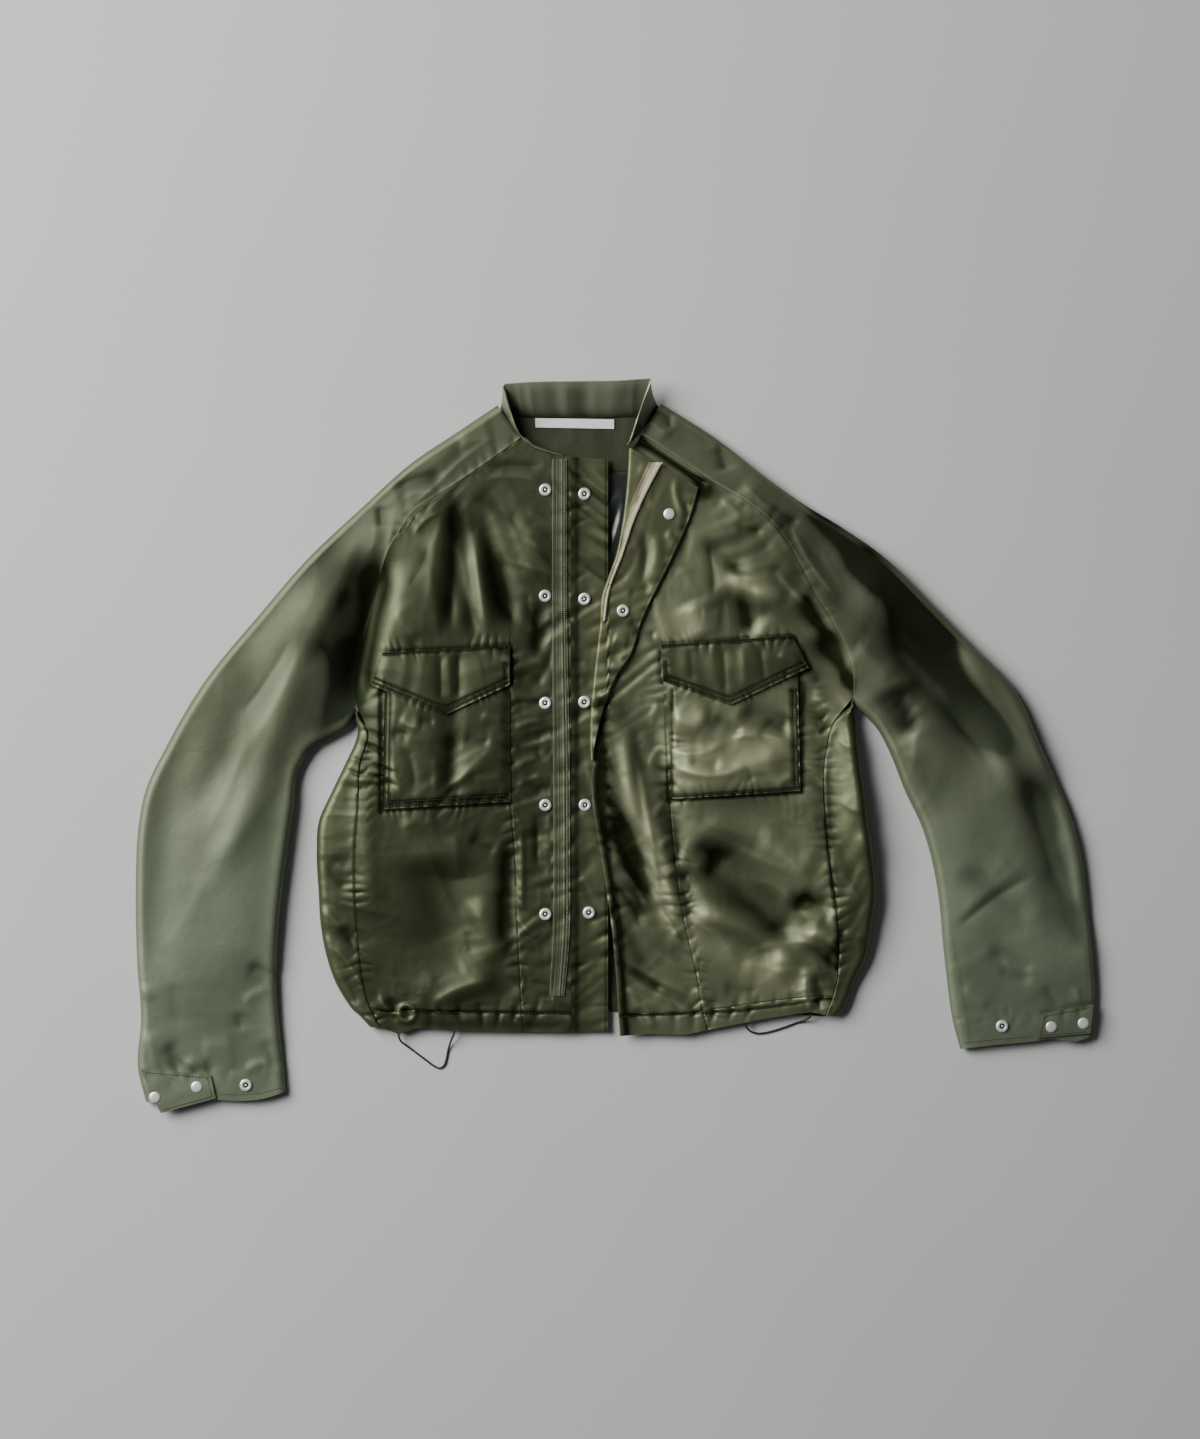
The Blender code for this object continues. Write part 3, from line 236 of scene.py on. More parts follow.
# start x, start y, end x, end y, bow to the right of the way, half width, height
FOLDS = (
    (384, 560, 352, 715, 0, 15, -6), (407, 555, 374, 705, -5, 14, 4),
    (455, 495, 472, 655, 6, 13, -4), (470, 500, 520, 635, -8, 17, -4),
    (478, 505, 492, 640, -4, 9, 2.5), (445, 728, 447, 803, 0, 14, -2.5),
    (452, 800, 508, 735, 5, 15, 2), (425, 850, 440, 955, 8, 34, -5),
    (428, 1012, 505, 972, 5, 10, 2.5), (714, 562, 778, 536, -9, 10, -4),
    (722, 578, 795, 592, -10, 10, 3.5), (788, 588, 824, 645, -4, 10, 3),
    (664, 764, 794, 744, -20, 14, 2.5), (688, 842, 800, 962, 12, 28, -5),
    (798, 930, 842, 942, 0, 9, 3), (784, 900, 834, 902, 0, 10, -3),
    (806, 962, 809, 1014, 0, 9, 3), (618, 715, 652, 905, 5, 9, 2.5),
    (640, 690, 692, 965, 8, 11, -3), (304, 632, 198, 905, 10, 14, 3),
    (262, 640, 178, 830, 10, 17, -2.5), (878, 598, 1004, 794, -10, 22, -4.5),
    (882, 688, 916, 738, 0, 18, -3.5), (956, 868, 1034, 924, 5, 12, -2.5),
    (986, 948, 1034, 978, 3, 10, -2),
)
# the same columns, for the smaller creases of the shell
CREASES = (
    # chest of the right front
    (453, 489, 450, 640, 1, 8, -1.1), (450, 493, 405, 600, 6, 13, 1.2),
    (443, 512, 414, 536, -4, 4, 1.4), (430, 545, 408, 590, 3, 8, -1.1),
    (462, 492, 486, 626, 2, 8, 1.1), (470, 494, 522, 530, 4, 9, -1.7),
    (500, 548, 514, 632, 0, 7, -1.3), (530, 535, 548, 590, 4, 11, 1.2),
    (486, 465, 545, 466, 0, 6, -1.6), (486, 478, 545, 482, 3, 6, 1.4),
    (526, 590, 541, 634, -3, 4, -1.4), (532, 604, 531, 636, 0, 4, 1.2),
    (426, 560, 436, 640, 4, 9, 1.2), (395, 606, 420, 640, -4, 8, 1.4),
    (512, 692, 549, 696, -3, 5, 1.3), (512, 703, 550, 702, 0, 3, -1.2),
    (516, 676, 546, 682, 3, 6, -1.3), (516, 660, 548, 664, 0, 4, 0.9),
    # right flap and pocket
    (441, 650, 441, 704, 0, 4.5, -1.7), (458, 648, 459, 702, 0, 4.5, -1.9),
    (449, 650, 451, 706, 0, 4, 1.3), (400, 718, 422, 728, -3, 5, 1.6),
    (391, 735, 410, 736, 3, 6, -1.8), (418, 722, 436, 722, 0, 4, -1.4),
    (404, 745, 414, 790, 4, 6, -1.4), (434, 755, 434, 796, 2, 5, 1.4),
    (452, 792, 500, 746, 4, 6, 1.1), (463, 736, 492, 742, -3, 6, -1.7),
    (480, 716, 505, 722, 2, 5, 1.2), (473, 778, 505, 776, -2, 5, 1.1),
    (466, 800, 506, 790, 2, 4, -1.0), (392, 760, 402, 800, 0, 5, 1.2),
    # lower right front
    (456, 832, 458, 880, 0, 9, 1.6), (468, 838, 498, 852, 0, 8, -1.8),
    (480, 908, 484, 946, -2, 8, 0.6), (466, 930, 472, 955, 0, 5, -0.8),
    (500, 885, 502, 948, 0, 7, -1.6), (400, 830, 440, 822, 4, 9, 1.5),
    (427, 1008, 497, 979, 6, 6, 1.4), (378, 988, 422, 1008, -16, 4, 2.0),
    (388, 996, 398, 1022, 2, 4, -1.8), (430, 985, 468, 968, 3, 8, -1.0),
    (521, 822, 522, 915, 1, 3, 1.5), (536, 809, 537, 872, 0, 5, -1.6),
    (514, 944, 542, 914, 2, 3, 1.4), (516, 915, 540, 940, -2, 3, 1.1),
    (512, 960, 530, 985, 2, 4, -1.3), (514, 730, 546, 722, 3, 4, 1.3),
    (514, 745, 545, 750, -3, 5, -1.2), (516, 770, 542, 758, 3, 4, 1.4),
    (514, 790, 545, 776, 3, 4, 1.3), (522, 780, 544, 792, 0, 4, -1.2),
    (520, 985, 556, 990, 4, 6, -1.2), (330, 944, 364, 992, 4, 3, 1.6),
    (334, 800, 352, 758, 6, 7, 1.8), (328, 860, 350, 890, -4, 6, -1.6),
    (326, 905, 350, 930, -4, 5, 1.5), (338, 925, 356, 955, 3, 6, -1.8),
    (344, 975, 358, 1006, 2, 5, -1.2),
    # chest of the left front
    (716, 562, 780, 540, -9, 6, 1.5), (727, 574, 776, 568, -7, 5, 1.2),
    (774, 568, 824, 620, -3, 4, 2.0), (722, 563, 790, 562, -9, 6, -1.8),
    (707, 535, 713, 602, 2, 7, -2.0), (735, 526, 764, 529, -2, 4, -1.4),
    (792, 590, 818, 632, -2, 6, -1.2), (740, 585, 752, 636, 2, 6, -1.3),
    (755, 585, 760, 638, 2, 7, 0.8), (700, 610, 722, 612, -4, 8, 1.2),
    (738, 590, 744, 634, 0, 5, -1.2), (720, 500, 742, 522, 3, 6, 1.4),
    (766, 520, 790, 556, 3, 4, 1.3), (652, 630, 654, 645, 0, 3, -1.2),
    # left flap and pocket
    (690, 646, 692, 684, 0, 6, -1.2), (722, 643, 726, 698, 0, 5, -1.3),
    (742, 642, 744, 690, 0, 5, 1.0), (760, 642, 764, 684, 0, 4, -1.1),
    (776, 655, 800, 664, 0, 4, 1.2), (670, 750, 726, 741, -7, 4, 1.9),
    (726, 741, 794, 746, 8, 4, 1.8), (670, 764, 744, 768, -9, 4, 1.8),
    (687, 760, 722, 766, -2, 5, -1.8), (712, 716, 744, 734, 0, 7, -2.0),
    (672, 712, 704, 730, -3, 8, 1.6), (758, 740, 776, 718, 2, 5, -1.3),
    (728, 770, 784, 778, 4, 8, 1.2), (744, 766, 750, 784, 3, 3, -1.2),
    (776, 790, 796, 775, 3, 4, 1.5),
    # lower left front
    (676, 854, 706, 866, -4, 5, 1.3), (694, 842, 726, 872, 2, 8, -1.2),
    (786, 896, 836, 950, -4, 10, -0.8), (682, 918, 740, 964, 7, 8, 1.8),
    (740, 964, 790, 976, 3, 9, 1.4), (806, 974, 811, 1012, -3, 4, 1.5),
    (816, 972, 820, 1010, 0, 5, -1.7), (700, 820, 780, 836, -4, 12, 1.2),
    (722, 985, 760, 990, -3, 8, -1.2), (690, 985, 706, 1008, 3, 5, 1.4),
    (612, 800, 646, 885, 6, 7, -2.4), (612, 879, 642, 930, 3, 6, -2.2),
    (622, 868, 650, 912, 2, 4, 1.6), (634, 748, 659, 908, 3, 3, 1.8),
    (659, 906, 682, 948, 2, 3, 1.6), (604, 800, 616, 868, 4, 5, 1.5),
    (629, 968, 664, 992, 2, 6, -1.8), (640, 1000, 652, 1030, 2, 4, 1.3),
    (626, 985, 640, 1012, 2, 5, 1.3), (652, 730, 660, 700, 2, 4, 1.4),
    (650, 770, 662, 745, 3, 3, 1.4), (655, 820, 668, 800, 3, 3, 1.5),
    (660, 850, 674, 835, 3, 3, 1.5), (666, 880, 680, 868, 3, 3, 1.4),
    (672, 940, 690, 925, 3, 3, 1.4), (845, 700, 856, 760, 3, 8, 1.2),
    (838, 740, 858, 745, -3, 4, 1.3), (832, 830, 868, 870, -4, 6, -1.2),
    (836, 850, 866, 905, -5, 7, 1.2), (840, 800, 864, 812, -3, 5, 1.3),
    (842, 930, 866, 935, -3, 6, 1.3), (812, 690, 840, 712, -4, 5, 1.6),
    (814, 735, 838, 728, -3, 4, 1.3),
    # shoulders
    (458, 448, 496, 440, 4, 10, 1.4), (392, 492, 446, 474, 5, 9, -1.8),
    (379, 505, 381, 528, 0, 6, -1.6), (402, 500, 440, 492, 4, 6, 1.0),
    (645, 410, 672, 438, -3, 8, 1.5), (664, 402, 670, 432, 2, 4, -1.4),
    (716, 446, 724, 474, 2, 8, -1.8), (742, 480, 792, 520, -5, 8, 1.8),
    (790, 520, 840, 600, -5, 6, 2.2), (770, 506, 800, 524, 0, 5, -1.6),
    # right sleeve
    (367, 540, 304, 676, 4, 16, -2.4), (360, 532, 300, 650, 4, 12, 0.9),
    (308, 634, 246, 752, 5, 9, 1.4), (294, 636, 240, 716, 3, 3, -0.8),
    (252, 730, 206, 838, 2, 9, 1.1), (289, 755, 212, 868, 5, 14, 1.3),
    (212, 866, 160, 958, 4, 15, 0.9), (248, 966, 274, 978, 4, 5, -2.2),
    (238, 1012, 240, 1030, 0, 6, -1.4), (242, 1004, 270, 988, 3, 4, 1.4),
    (150, 1030, 158, 1068, -3, 6, 1.6), (168, 1042, 184, 1070, -2, 7, -2.2),
    (146, 985, 150, 1000, 0, 5, 1.3), (245, 1070, 272, 1062, 3, 4, 1.4),
    (262, 1040, 276, 1070, 2, 6, -1.2), (200, 1050, 236, 1046, 4, 9, 1.0),
    (170, 980, 176, 1030, 2, 12, -1.0), (190, 1056, 196, 1072, 0, 4, 1.4),
    (206, 1058, 208, 1073, 0, 3, -1.2),
    # left sleeve
    (877, 576, 999, 768, -14, 12, -3.2), (952, 632, 1038, 756, -6, 10, 2.0),
    (905, 690, 928, 712, -4, 7, 1.0), (926, 712, 914, 768, -5, 7, 1.4),
    (857, 640, 900, 674, -6, 14, 1.8), (894, 700, 912, 716, 0, 14, -1.0),
    (953, 930, 1038, 871, 4, 4, -1.8), (958, 918, 1030, 862, 4, 7, 1.2),
    (1000, 956, 1038, 972, -4, 5, 1.5), (996, 968, 1034, 980, -3, 5, -1.5),
    (1030, 767, 1070, 905, -8, 12, -2.4), (962, 985, 990, 1006, -3, 5, 1.2),
    (1044, 985, 1060, 1010, 0, 5, -1.2), (990, 880, 1010, 860, 2, 9, 1.0),
    (1075, 985, 1080, 1004, 0, 4, 1.2),
)
# and for the broad slopes that the cloth of the shell takes between its seams
SLOPES = (
    (384, 545, 352, 712, 0, 24, -7.5), (452, 515, 398, 650, 0, 23, 2.6),
    (345, 570, 250, 770, 6, 36, 4.4), (250, 760, 236, 1000, -4, 36, 4),
    (430, 450, 190, 700, -16, 26, -6), (190, 690, 150, 1000, -12, 24, -5),
    (455, 490, 446, 640, 2, 10, -3.5), (470, 505, 514, 628, 4, 14, -3.6),
    (474, 540, 486, 640, 0, 9, 3), (532, 520, 534, 585, 0, 13, 2.5),
    (536, 600, 538, 660, 0, 10, -3), (448, 650, 452, 800, 2, 13, -3),
    (404, 720, 470, 790, 10, 13, 2), (448, 850, 456, 975, 0, 32, -6.5),
    (472, 895, 498, 965, 0, 12, 2.6), (506, 840, 507, 950, 0, 9, -3.5),
    (405, 1000, 500, 985, 8, 16, 3), (364, 750, 368, 930, 0, 12, 2.5),
    (700, 548, 770, 520, -8, 10, -2.5), (715, 590, 760, 636, 6, 22, -3.5),
    (690, 600, 706, 640, 0, 12, 3), (775, 570, 850, 665, -8, 16, -5.5),
    (735, 560, 815, 600, -12, 16, 3.5), (736, 712, 796, 730, 4, 14, -4.5),
    (664, 756, 800, 748, -12, 13, 4), (664, 788, 800, 776, -8, 12, 3.5),
    (668, 722, 712, 716, -3, 12, 3), (676, 858, 712, 866, 0, 12, 2.5),
    (690, 838, 790, 960, 16, 32, -8), (684, 912, 800, 984, 22, 13, 4.5),
    (755, 835, 820, 870, -6, 18, 2.5), (796, 895, 838, 915, 0, 13, -3.5),
    (806, 930, 838, 945, 0, 11, 2), (604, 815, 654, 905, 6, 14, -4.5),
    (645, 800, 684, 950, 3, 9, 3.5), (622, 695, 646, 800, 0, 10, -3),
    (630, 700, 640, 860, -6, 7, 2), (862, 705, 866, 880, 0, 18, 6.5),
    (824, 690, 830, 880, 0, 13, -4), (760, 470, 1045, 760, -26, 30, -11),
    (1045, 750, 1088, 960, -10, 26, -8), (850, 560, 960, 790, -10, 26, 4.5),
    (955, 780, 975, 990, 2, 26, 3.5), (900, 680, 915, 735, 0, 17, -4),
    (960, 640, 1030, 800, -6, 16, 2.5), (400, 540, 385, 960, 10, 55, 4),
    (545, 520, 545, 960, 0, 36, -2), (862, 640, 858, 980, 0, 60, 5),
    (655, 640, 668, 1000, 0, 36, -1.5),
)
FOLD_FADE = 0.25  # share of a fold's length over which it rises and falls
CREST = 0.22  # how round the top of a crease is, as a share of its width
LEAN = 2.0  # one side of a crease is this much gentler than the other
CREASE_REACH, CREASE_FALL = 0.85, 1.3  # width of its steep side, and how fast it falls off
CREASE_GAIN, PUCKER_GAIN, STREAK_GAIN, CRUMPLE_GAIN = 1.1, 1.1, 0.9, 0.75
LEAST, SOFT = FLOOR + 2.6, 1.0  # the upper cloth stays above this height

# x, y, reach, direction in degrees from x towards y, length, width, height of drawn-out soft folds
STREAKS = (
    (430, 560, 34, 104, 100, 17, 1.5), (490, 560, 30, 66, 90, 15, 1.7),
    (535, 540, 22, 20, 46, 13, 1.3), (440, 480, 30, 145, 60, 13, 1.2),
    (445, 680, 28, 92, 60, 16, 1.4), (445, 760, 34, 150, 52, 13, 1.6),
    (532, 700, 26, 168, 36, 11, 1.4), (532, 850, 30, 160, 34, 12, 1.5),
    (540, 960, 24, 150, 34, 12, 1.4), (430, 890, 48, 62, 100, 26, 2.2),
    (450, 985, 24, 165, 60, 14, 1.5), (340, 820, 26, 178, 34, 11, 1.5),
    (345, 930, 26, 195, 34, 12, 1.6), (590, 520, 24, 40, 34, 11, 2.0),
    (590, 700, 40, 150, 34, 11, 2.0), (590, 900, 44, 140, 40, 12, 2.0),
    (650, 520, 24, 112, 50, 11, 1.0), (735, 520, 26, 160, 60, 15, 1.4),
    (740, 590, 34, 78, 60, 18, 1.8), (800, 600, 26, 52, 80, 15, 1.6),
    (730, 670, 28, 92, 50, 15, 1.3), (735, 750, 36, 174, 76, 15, 1.6),
    (750, 830, 28, 20, 80, 20, 1.6), (740, 910, 46, 36, 110, 28, 2.0),
    (800, 960, 26, 170, 50, 14, 1.6), (640, 760, 34, 76, 90, 12, 1.6),
    (635, 880, 40, 58, 80, 13, 2.0), (650, 990, 26, 30, 50, 13, 1.6),
    (848, 760, 30, 60, 50, 12, 1.5), (850, 880, 30, 120, 44, 12, 1.5),
    (840, 970, 22, 80, 40, 12, 1.4), (440, 1024, 20, 84, 26, 13, 1.0),
    (740, 1024, 20, 84, 26, 13, 1.0), (330, 590, 50, 122, 170, 26, 0.3),
    (230, 740, 50, 116, 190, 30, 0.4), (205, 930, 60, 92, 130, 38, 0.45),
    (205, 1060, 30, 150, 60, 20, 0.6), (420, 470, 30, 140, 80, 20, 0.9),
    (730, 470, 36, 36, 80, 20, 0.9), (870, 600, 44, 46, 150, 26, 0.6),
    (960, 700, 50, 56, 150, 26, 0.6), (1000, 850, 50, 120, 90, 24, 0.7),
    (1010, 960, 40, 160, 80, 22, 0.6), (560, 430, 30, 90, 40, 16, 0.6),
)

# start x, start y, end x, end y, reach, amount: painted shade along each stretch, or painted light
# where the amount is negative
PAINTED_SHADE_LINES = (
    (818, 512, 880, 576, 12, 1.7), (866, 560, 938, 642, 17, 1.9), (925, 628, 995, 735, 14, 1.6),
    (985, 720, 1045, 820, 11, 1.1), (846, 490, 990, 640, 8, 0.5), (805, 600, 828, 640, 6, 1.2),
    (828, 640, 848, 680, 7, 1.2), (848, 680, 862, 712, 6, 1.2), (352, 655, 346, 704, 13, 1.2),
    (346, 704, 314, 748, 13, 1.2), (661, 404, 641.5, 434.5, 3.5, 0.9),
    (497.5, 405.5, 520.5, 438, 3, 0.6), (903, 690, 910, 730, 14, 0.25),
    (398, 490, 470, 464, 15, 0.25), (1045, 820, 1078, 940, 9, 0.7), (1000, 680, 1045, 770, 6, -0.3),
    (380, 560, 350, 705, 16, 0.9), (345, 600, 330, 700, 12, 0.5), (455, 500, 446, 632, 9, 0.35),
    (472, 505, 512, 620, 12, 0.35), (430, 860, 450, 950, 24, -0.4), (506, 845, 507, 950, 8, 0.6),
    (450, 740, 452, 795, 8, 0.4), (728, 600, 752, 625, 12, 0.2), (770, 560, 800, 600, 10, 0.2),
    (601, 700, 603, 800, 6, 0.9), (606, 800, 640, 905, 9, 0.9), (700, 850, 765, 925, 24, 0.3),
    (943.5, 899, 956.6, 960, 1.6, 0.6), (956.6, 960, 965.4, 1006.6, 1.6, 0.6),
    (965.4, 1006.6, 969.7, 1039, 1.6, 0.6), (1041, 1011.5, 1092, 1001.5, 2.2, 0.9),
    (279, 880, 275.5, 955, 1.5, 0.5), (275.5, 955, 277, 1022, 1.5, 0.5),
    (277, 1022, 281, 1085, 1.5, 0.5), (172, 1065, 208, 1068, 4, 0.9),
    (1000, 985, 1065, 990, 22, 0.4), (168, 1040, 172, 1062, 11, 0.3), (240, 955, 262, 985, 13, 0.3),
    (200, 1010, 258, 1062, 30, 0.4), (185, 890, 245, 985, 34, 0.25), (612, 905, 640, 960, 8, 0.5),
    (985, 850, 1015, 960, 40, -0.6), (335, 560, 322, 640, 28, 0.45), (735, 700, 735, 720, 40, -0.3),
    (640, 590, 700, 650, 20, -0.3), (800, 903, 832, 950, 12, 0.7), (826, 960, 834, 990, 8, 0.5),
    (536, 600, 538, 655, 9, 0.4), (675, 745, 795, 760, 26, -0.5), (850, 705, 858, 850, 19, -0.8),
    (684, 930, 790, 985, 17, -0.7), (790, 545, 830, 625, 5, -0.6), (640, 775, 660, 918, 5, -0.4),
    (940, 700, 1010, 860, 22, -0.3), (880, 645, 890, 680, 10, -0.3), (300, 600, 215, 800, 26, -0.2),
    (802, 684, 802.5, 790, 3, 1.2), (826, 821, 832, 884, 2.5, 1.1), (832, 884, 839, 935, 2.5, 1.1),
    (380.8, 690, 380.8, 811, 2.6, 0.9), (430, 1023, 571, 1024, 6, 0.5),
    (381, 811.5, 511, 804, 2.0, 0.4), (669, 801.5, 802, 793, 2.0, 0.4),
)

# sewn line, spacing of its puckers, how far they reach, depth
PUCKERED = (
    (((365, 738), (360, 764), (359, 811), (356, 857), (356, 914), (361, 971), (376, 1025)),
     13, 11, 1.2),
    (((510, 645), (510, 735), (511, 805), (515, 857), (517, 924), (520, 970), (524, 1027)),
     14, 10, 1.0),
    (((385, 690), (383, 809)), 17, 12, 1.6), (((383, 809), (510, 802)), 11, 9, 0.8),
    (((383, 653), (510, 645.5)), 10, 8, 1.1), (((510, 645), (510, 685)), 12, 7, 1.0),
    (((372, 685), (446, 715), (510, 685)), 9, 5, 0.8),
    (((381, 1010), (434, 1012), (571, 1013)), 23, 10, 1.2),
    (((552, 470), (552, 1000)), 26, 12, 0.9),
    (((659, 646), (665, 732), (670, 824), (682, 906), (699, 993), (707, 1027)), 13, 12, 1.2),
    (((797, 681), (800, 790)), 17, 10, 1.0), (((669, 799), (800, 791)), 11, 9, 0.8),
    (((661, 645), (792, 636)), 10, 8, 1.0), (((663, 681), (730, 705), (808, 668)), 9, 5, 0.8),
    (((815, 681), (821, 720), (822, 769), (825, 819), (834, 880), (840, 934), (837, 971)),
     11, 9, 1.0),
    (((621, 1016), (740, 1011), (834, 998)), 21, 10, 1.1),
    (((398, 534), (431, 499), (455, 484), (519, 440)), 15, 7, 0.8),
    (((743, 500), (765, 516), (781, 533), (799, 562), (816, 596), (832, 622)), 16, 7, 0.7),
    (((608, 460), (608, 1030)), 19, 13, 1.5), (((571, 460), (571, 1030)), 21, 11, 1.2),
    (((150, 1078), (215, 1078), (284, 1070)), 17, 9, 0.9),
    (((956, 1020), (1040, 1018), (1092, 1008)), 17, 8, 0.8),
)
EYELET = (407.0, 1013.0, 8.0)  # x, y, radius of the gathered bump at the drawcord
EYELET_RIM, EYELET_HOLE = (2.4, 2.6), (1.6, 4.0)  # height and width, depth and width

# x, y, reach, amount: where the cloth is crumpled into fine uneven creases
CRUMPLED = (
    (535, 700, 60, 1.0), (535, 850, 60, 1.0), (345, 880, 70, 1.0), (440, 750, 70, 0.7),
    (590, 700, 120, 0.8), (590, 930, 90, 0.9), (660, 900, 90, 0.9), (845, 800, 90, 1.0),
    (740, 740, 70, 0.6), (800, 960, 60, 0.8), (400, 1000, 60, 0.8), (660, 560, 60, 0.6),
)
CRUMPLE_LEAST, CRUMPLE_MEAN = 0.25, 0.6
CRUMPLES = ((26, 5, 0.8), (11, 9, 0.6))  # size, seed and height of its two noises
FAR = 1e9  # farther than any point lies from a line
LATTICE = 97  # values along each side of the noise's lattice


def spline(table, at):
    """Columns of a table at any key.

    Cubic Hermite: v(s) = (1+2s)(1-s)^2 v0 + s(1-s)^2 h m0 + s^2(3-2s) v1 - s^2(1-s) h m1.
    """
    table = np.asarray(table, float)
    key, values = table[:, 0], table[:, 1:]
    slope = np.gradient(values, key, axis=0)
    at = np.clip(np.asarray(at, float), key[0], key[-1])
    i = np.clip(np.searchsorted(key, at, side="right") - 1, 0, len(key) - 2)
    step = (key[i + 1] - key[i])[..., None]
    s = (at - key[i])[..., None] / step
    start = (1 + 2 * s) * (1 - s) ** 2 * values[i] + s * (1 - s) ** 2 * step * slope[i]
    end = s * s * (3 - 2 * s) * values[i + 1] - s * s * (1 - s) * step * slope[i + 1]
    return start + end


def run_of(points):
    """Length of a line from its start to each of its points."""
    return np.r_[0, np.cumsum(np.linalg.norm(np.diff(points, axis=0), axis=1))]


def outline(points, at):
    """Points at given shares of the length of a smooth line."""
    run = run_of(points)
    return spline(np.column_stack([run / run[-1], points]), at)


def across_at(line, y):
    """Sheet x of a line at a given y."""
    return spline([point[::-1] for point in line], y)[..., 0]


def straight(points, at):
    """Points at given shares of the length of straight stretches."""
    run = run_of(points)
    columns = np.transpose(points)
    return np.stack([np.interp(at, run / run[-1], column) for column in columns], axis=-1)


def unit(vectors):
    """Vectors of length one."""
    return vectors / np.maximum(np.linalg.norm(vectors, axis=-1, keepdims=True), 1e-9)


def step_up(value):
    """Smooth step: s^2 (3 - 2s) between 0 and 1."""
    value = np.clip(value, 0, 1)
    return value * value * (3 - 2 * value)


def bell(distance, width):
    """exp(-(d/w)^2)."""
    return np.exp(-(distance / width) ** 2)


def spot(x, y, spot_x, spot_y, spread):
    """exp(-r^2/spread) round a point of the sheet."""
    return np.exp(-((x - spot_x) ** 2 + (y - spot_y) ** 2) / spread)


def noise(x, y, size, seed):
    """Smooth value noise from 0 to 1: lattice values blended by smooth steps."""
    lattice = np.random.default_rng(seed).random((LATTICE, LATTICE))
    u, v = np.asarray(x) / size, np.asarray(y) / size
    i, j = np.floor(u).astype(int), np.floor(v).astype(int)
    s, t = step_up(u - i), step_up(v - j)
    a, b, c, d = (lattice[(i + right) % LATTICE, (j + down) % LATTICE]
                  for down in (0, 1) for right in (0, 1))
    return (1 - t) * ((1 - s) * a + s * b) + t * ((1 - s) * c + s * d)


def ridged(x, y, size, seed):
    """Fine ridges: 1 - |2n - 1| of noise on a plane that a slower noise bends."""
    bend_x = x + 1.2 * size * noise(x, y, 2.3 * size, seed + 1)
    bend_y = y + 1.2 * size * noise(x, y, 2.3 * size, seed + 2)
    return 1 - np.abs(2 * noise(bend_x, bend_y, size, seed) - 1)


def ridges(x, y, table, lean=None):
    """Sum of h fade p(d/w) over a table of folds, d from each fold's bowed line.

    p(u) = exp(-u^2), or, with a lean, the crisper exp(-1.3 (sqrt(u^2 + c^2) - c)). Then w is that
    much larger on one side, and the side changes from row to row.
    """
    z = 0.0
    for number, (x0, y0, x1, y1, bow, width, height) in enumerate(table):
        length = np.hypot(x1 - x0, y1 - y0)
        along = ((x - x0) * (x1 - x0) + (y - y0) * (y1 - y0)) / length ** 2
        across = ((x - x0) * (y1 - y0) - (y - y0) * (x1 - x0)) / length
        across = across - 4 * bow * along * (1 - along)
        fade = step_up(along / FOLD_FADE) * step_up((1 - along) / FOLD_FADE)
        if lean is None:
            profile = bell(across, width)
        else:
            gentle = across > 0 if number % 2 else across < 0
            reach = CREASE_REACH * width * np.where(gentle, lean, 1.0)
            rounded = np.sqrt((across / reach) ** 2 + CREST ** 2) - CREST
            profile = np.exp(-CREASE_FALL * rounded)
        z = z + height * fade * profile
    return z


def streaks(x, y):
    """Blend over the table of h (n/2 + 1.1 (0.55 - sqrt(n^2 + 0.006))).

    n is a noise from -1 to 1, drawn out along each spot's way and bent by a slower noise.
    """
    total, weight = np.zeros(np.shape(x)), 1e-9
    for number, (spot_x, spot_y, reach, way, length, width, height) in enumerate(STREAKS):
        near = spot(x, y, spot_x, spot_y, 2 * reach ** 2)
        c, s = np.cos(np.radians(way)), np.sin(np.radians(way))
        along = ((x - spot_x) * c + (y - spot_y) * s) / (1.5 * length)
        bend = 1.2 * noise(x, y, 60, 300 + number)
        across = ((y - spot_y) * c - (x - spot_x) * s) / width + bend
        fine = 2 * noise(along + 40, across + 40, 1.0, 200 + number) - 1
        total = total + near * height * (0.5 * fine + 1.1 * (0.55 - np.sqrt(fine ** 2 + 0.006)))
        weight = weight + near
    return total / weight


def along_line(x, y, line):
    """Distance from points to a line of straight stretches, and the place along it."""
    best, place, start = np.full(np.shape(x), FAR), np.zeros(np.shape(x)), 0.0
    for (x0, y0), (x1, y1) in zip(line[:-1], line[1:]):
        length = np.hypot(x1 - x0, y1 - y0)
        s = np.clip(((x - x0) * (x1 - x0) + (y - y0) * (y1 - y0)) / length ** 2, 0, 1)
        away = np.hypot(x - x0 - s * (x1 - x0), y - y0 - s * (y1 - y0))
        place = np.where(away < best, start + s * length, place)
        best = np.minimum(best, away)
        start += length
    return best, place


def away_from(points, line):
    """Distance from the points of a grid to a line, on the sheet."""
    return along_line(points[..., 0], points[..., 1], line)[0]


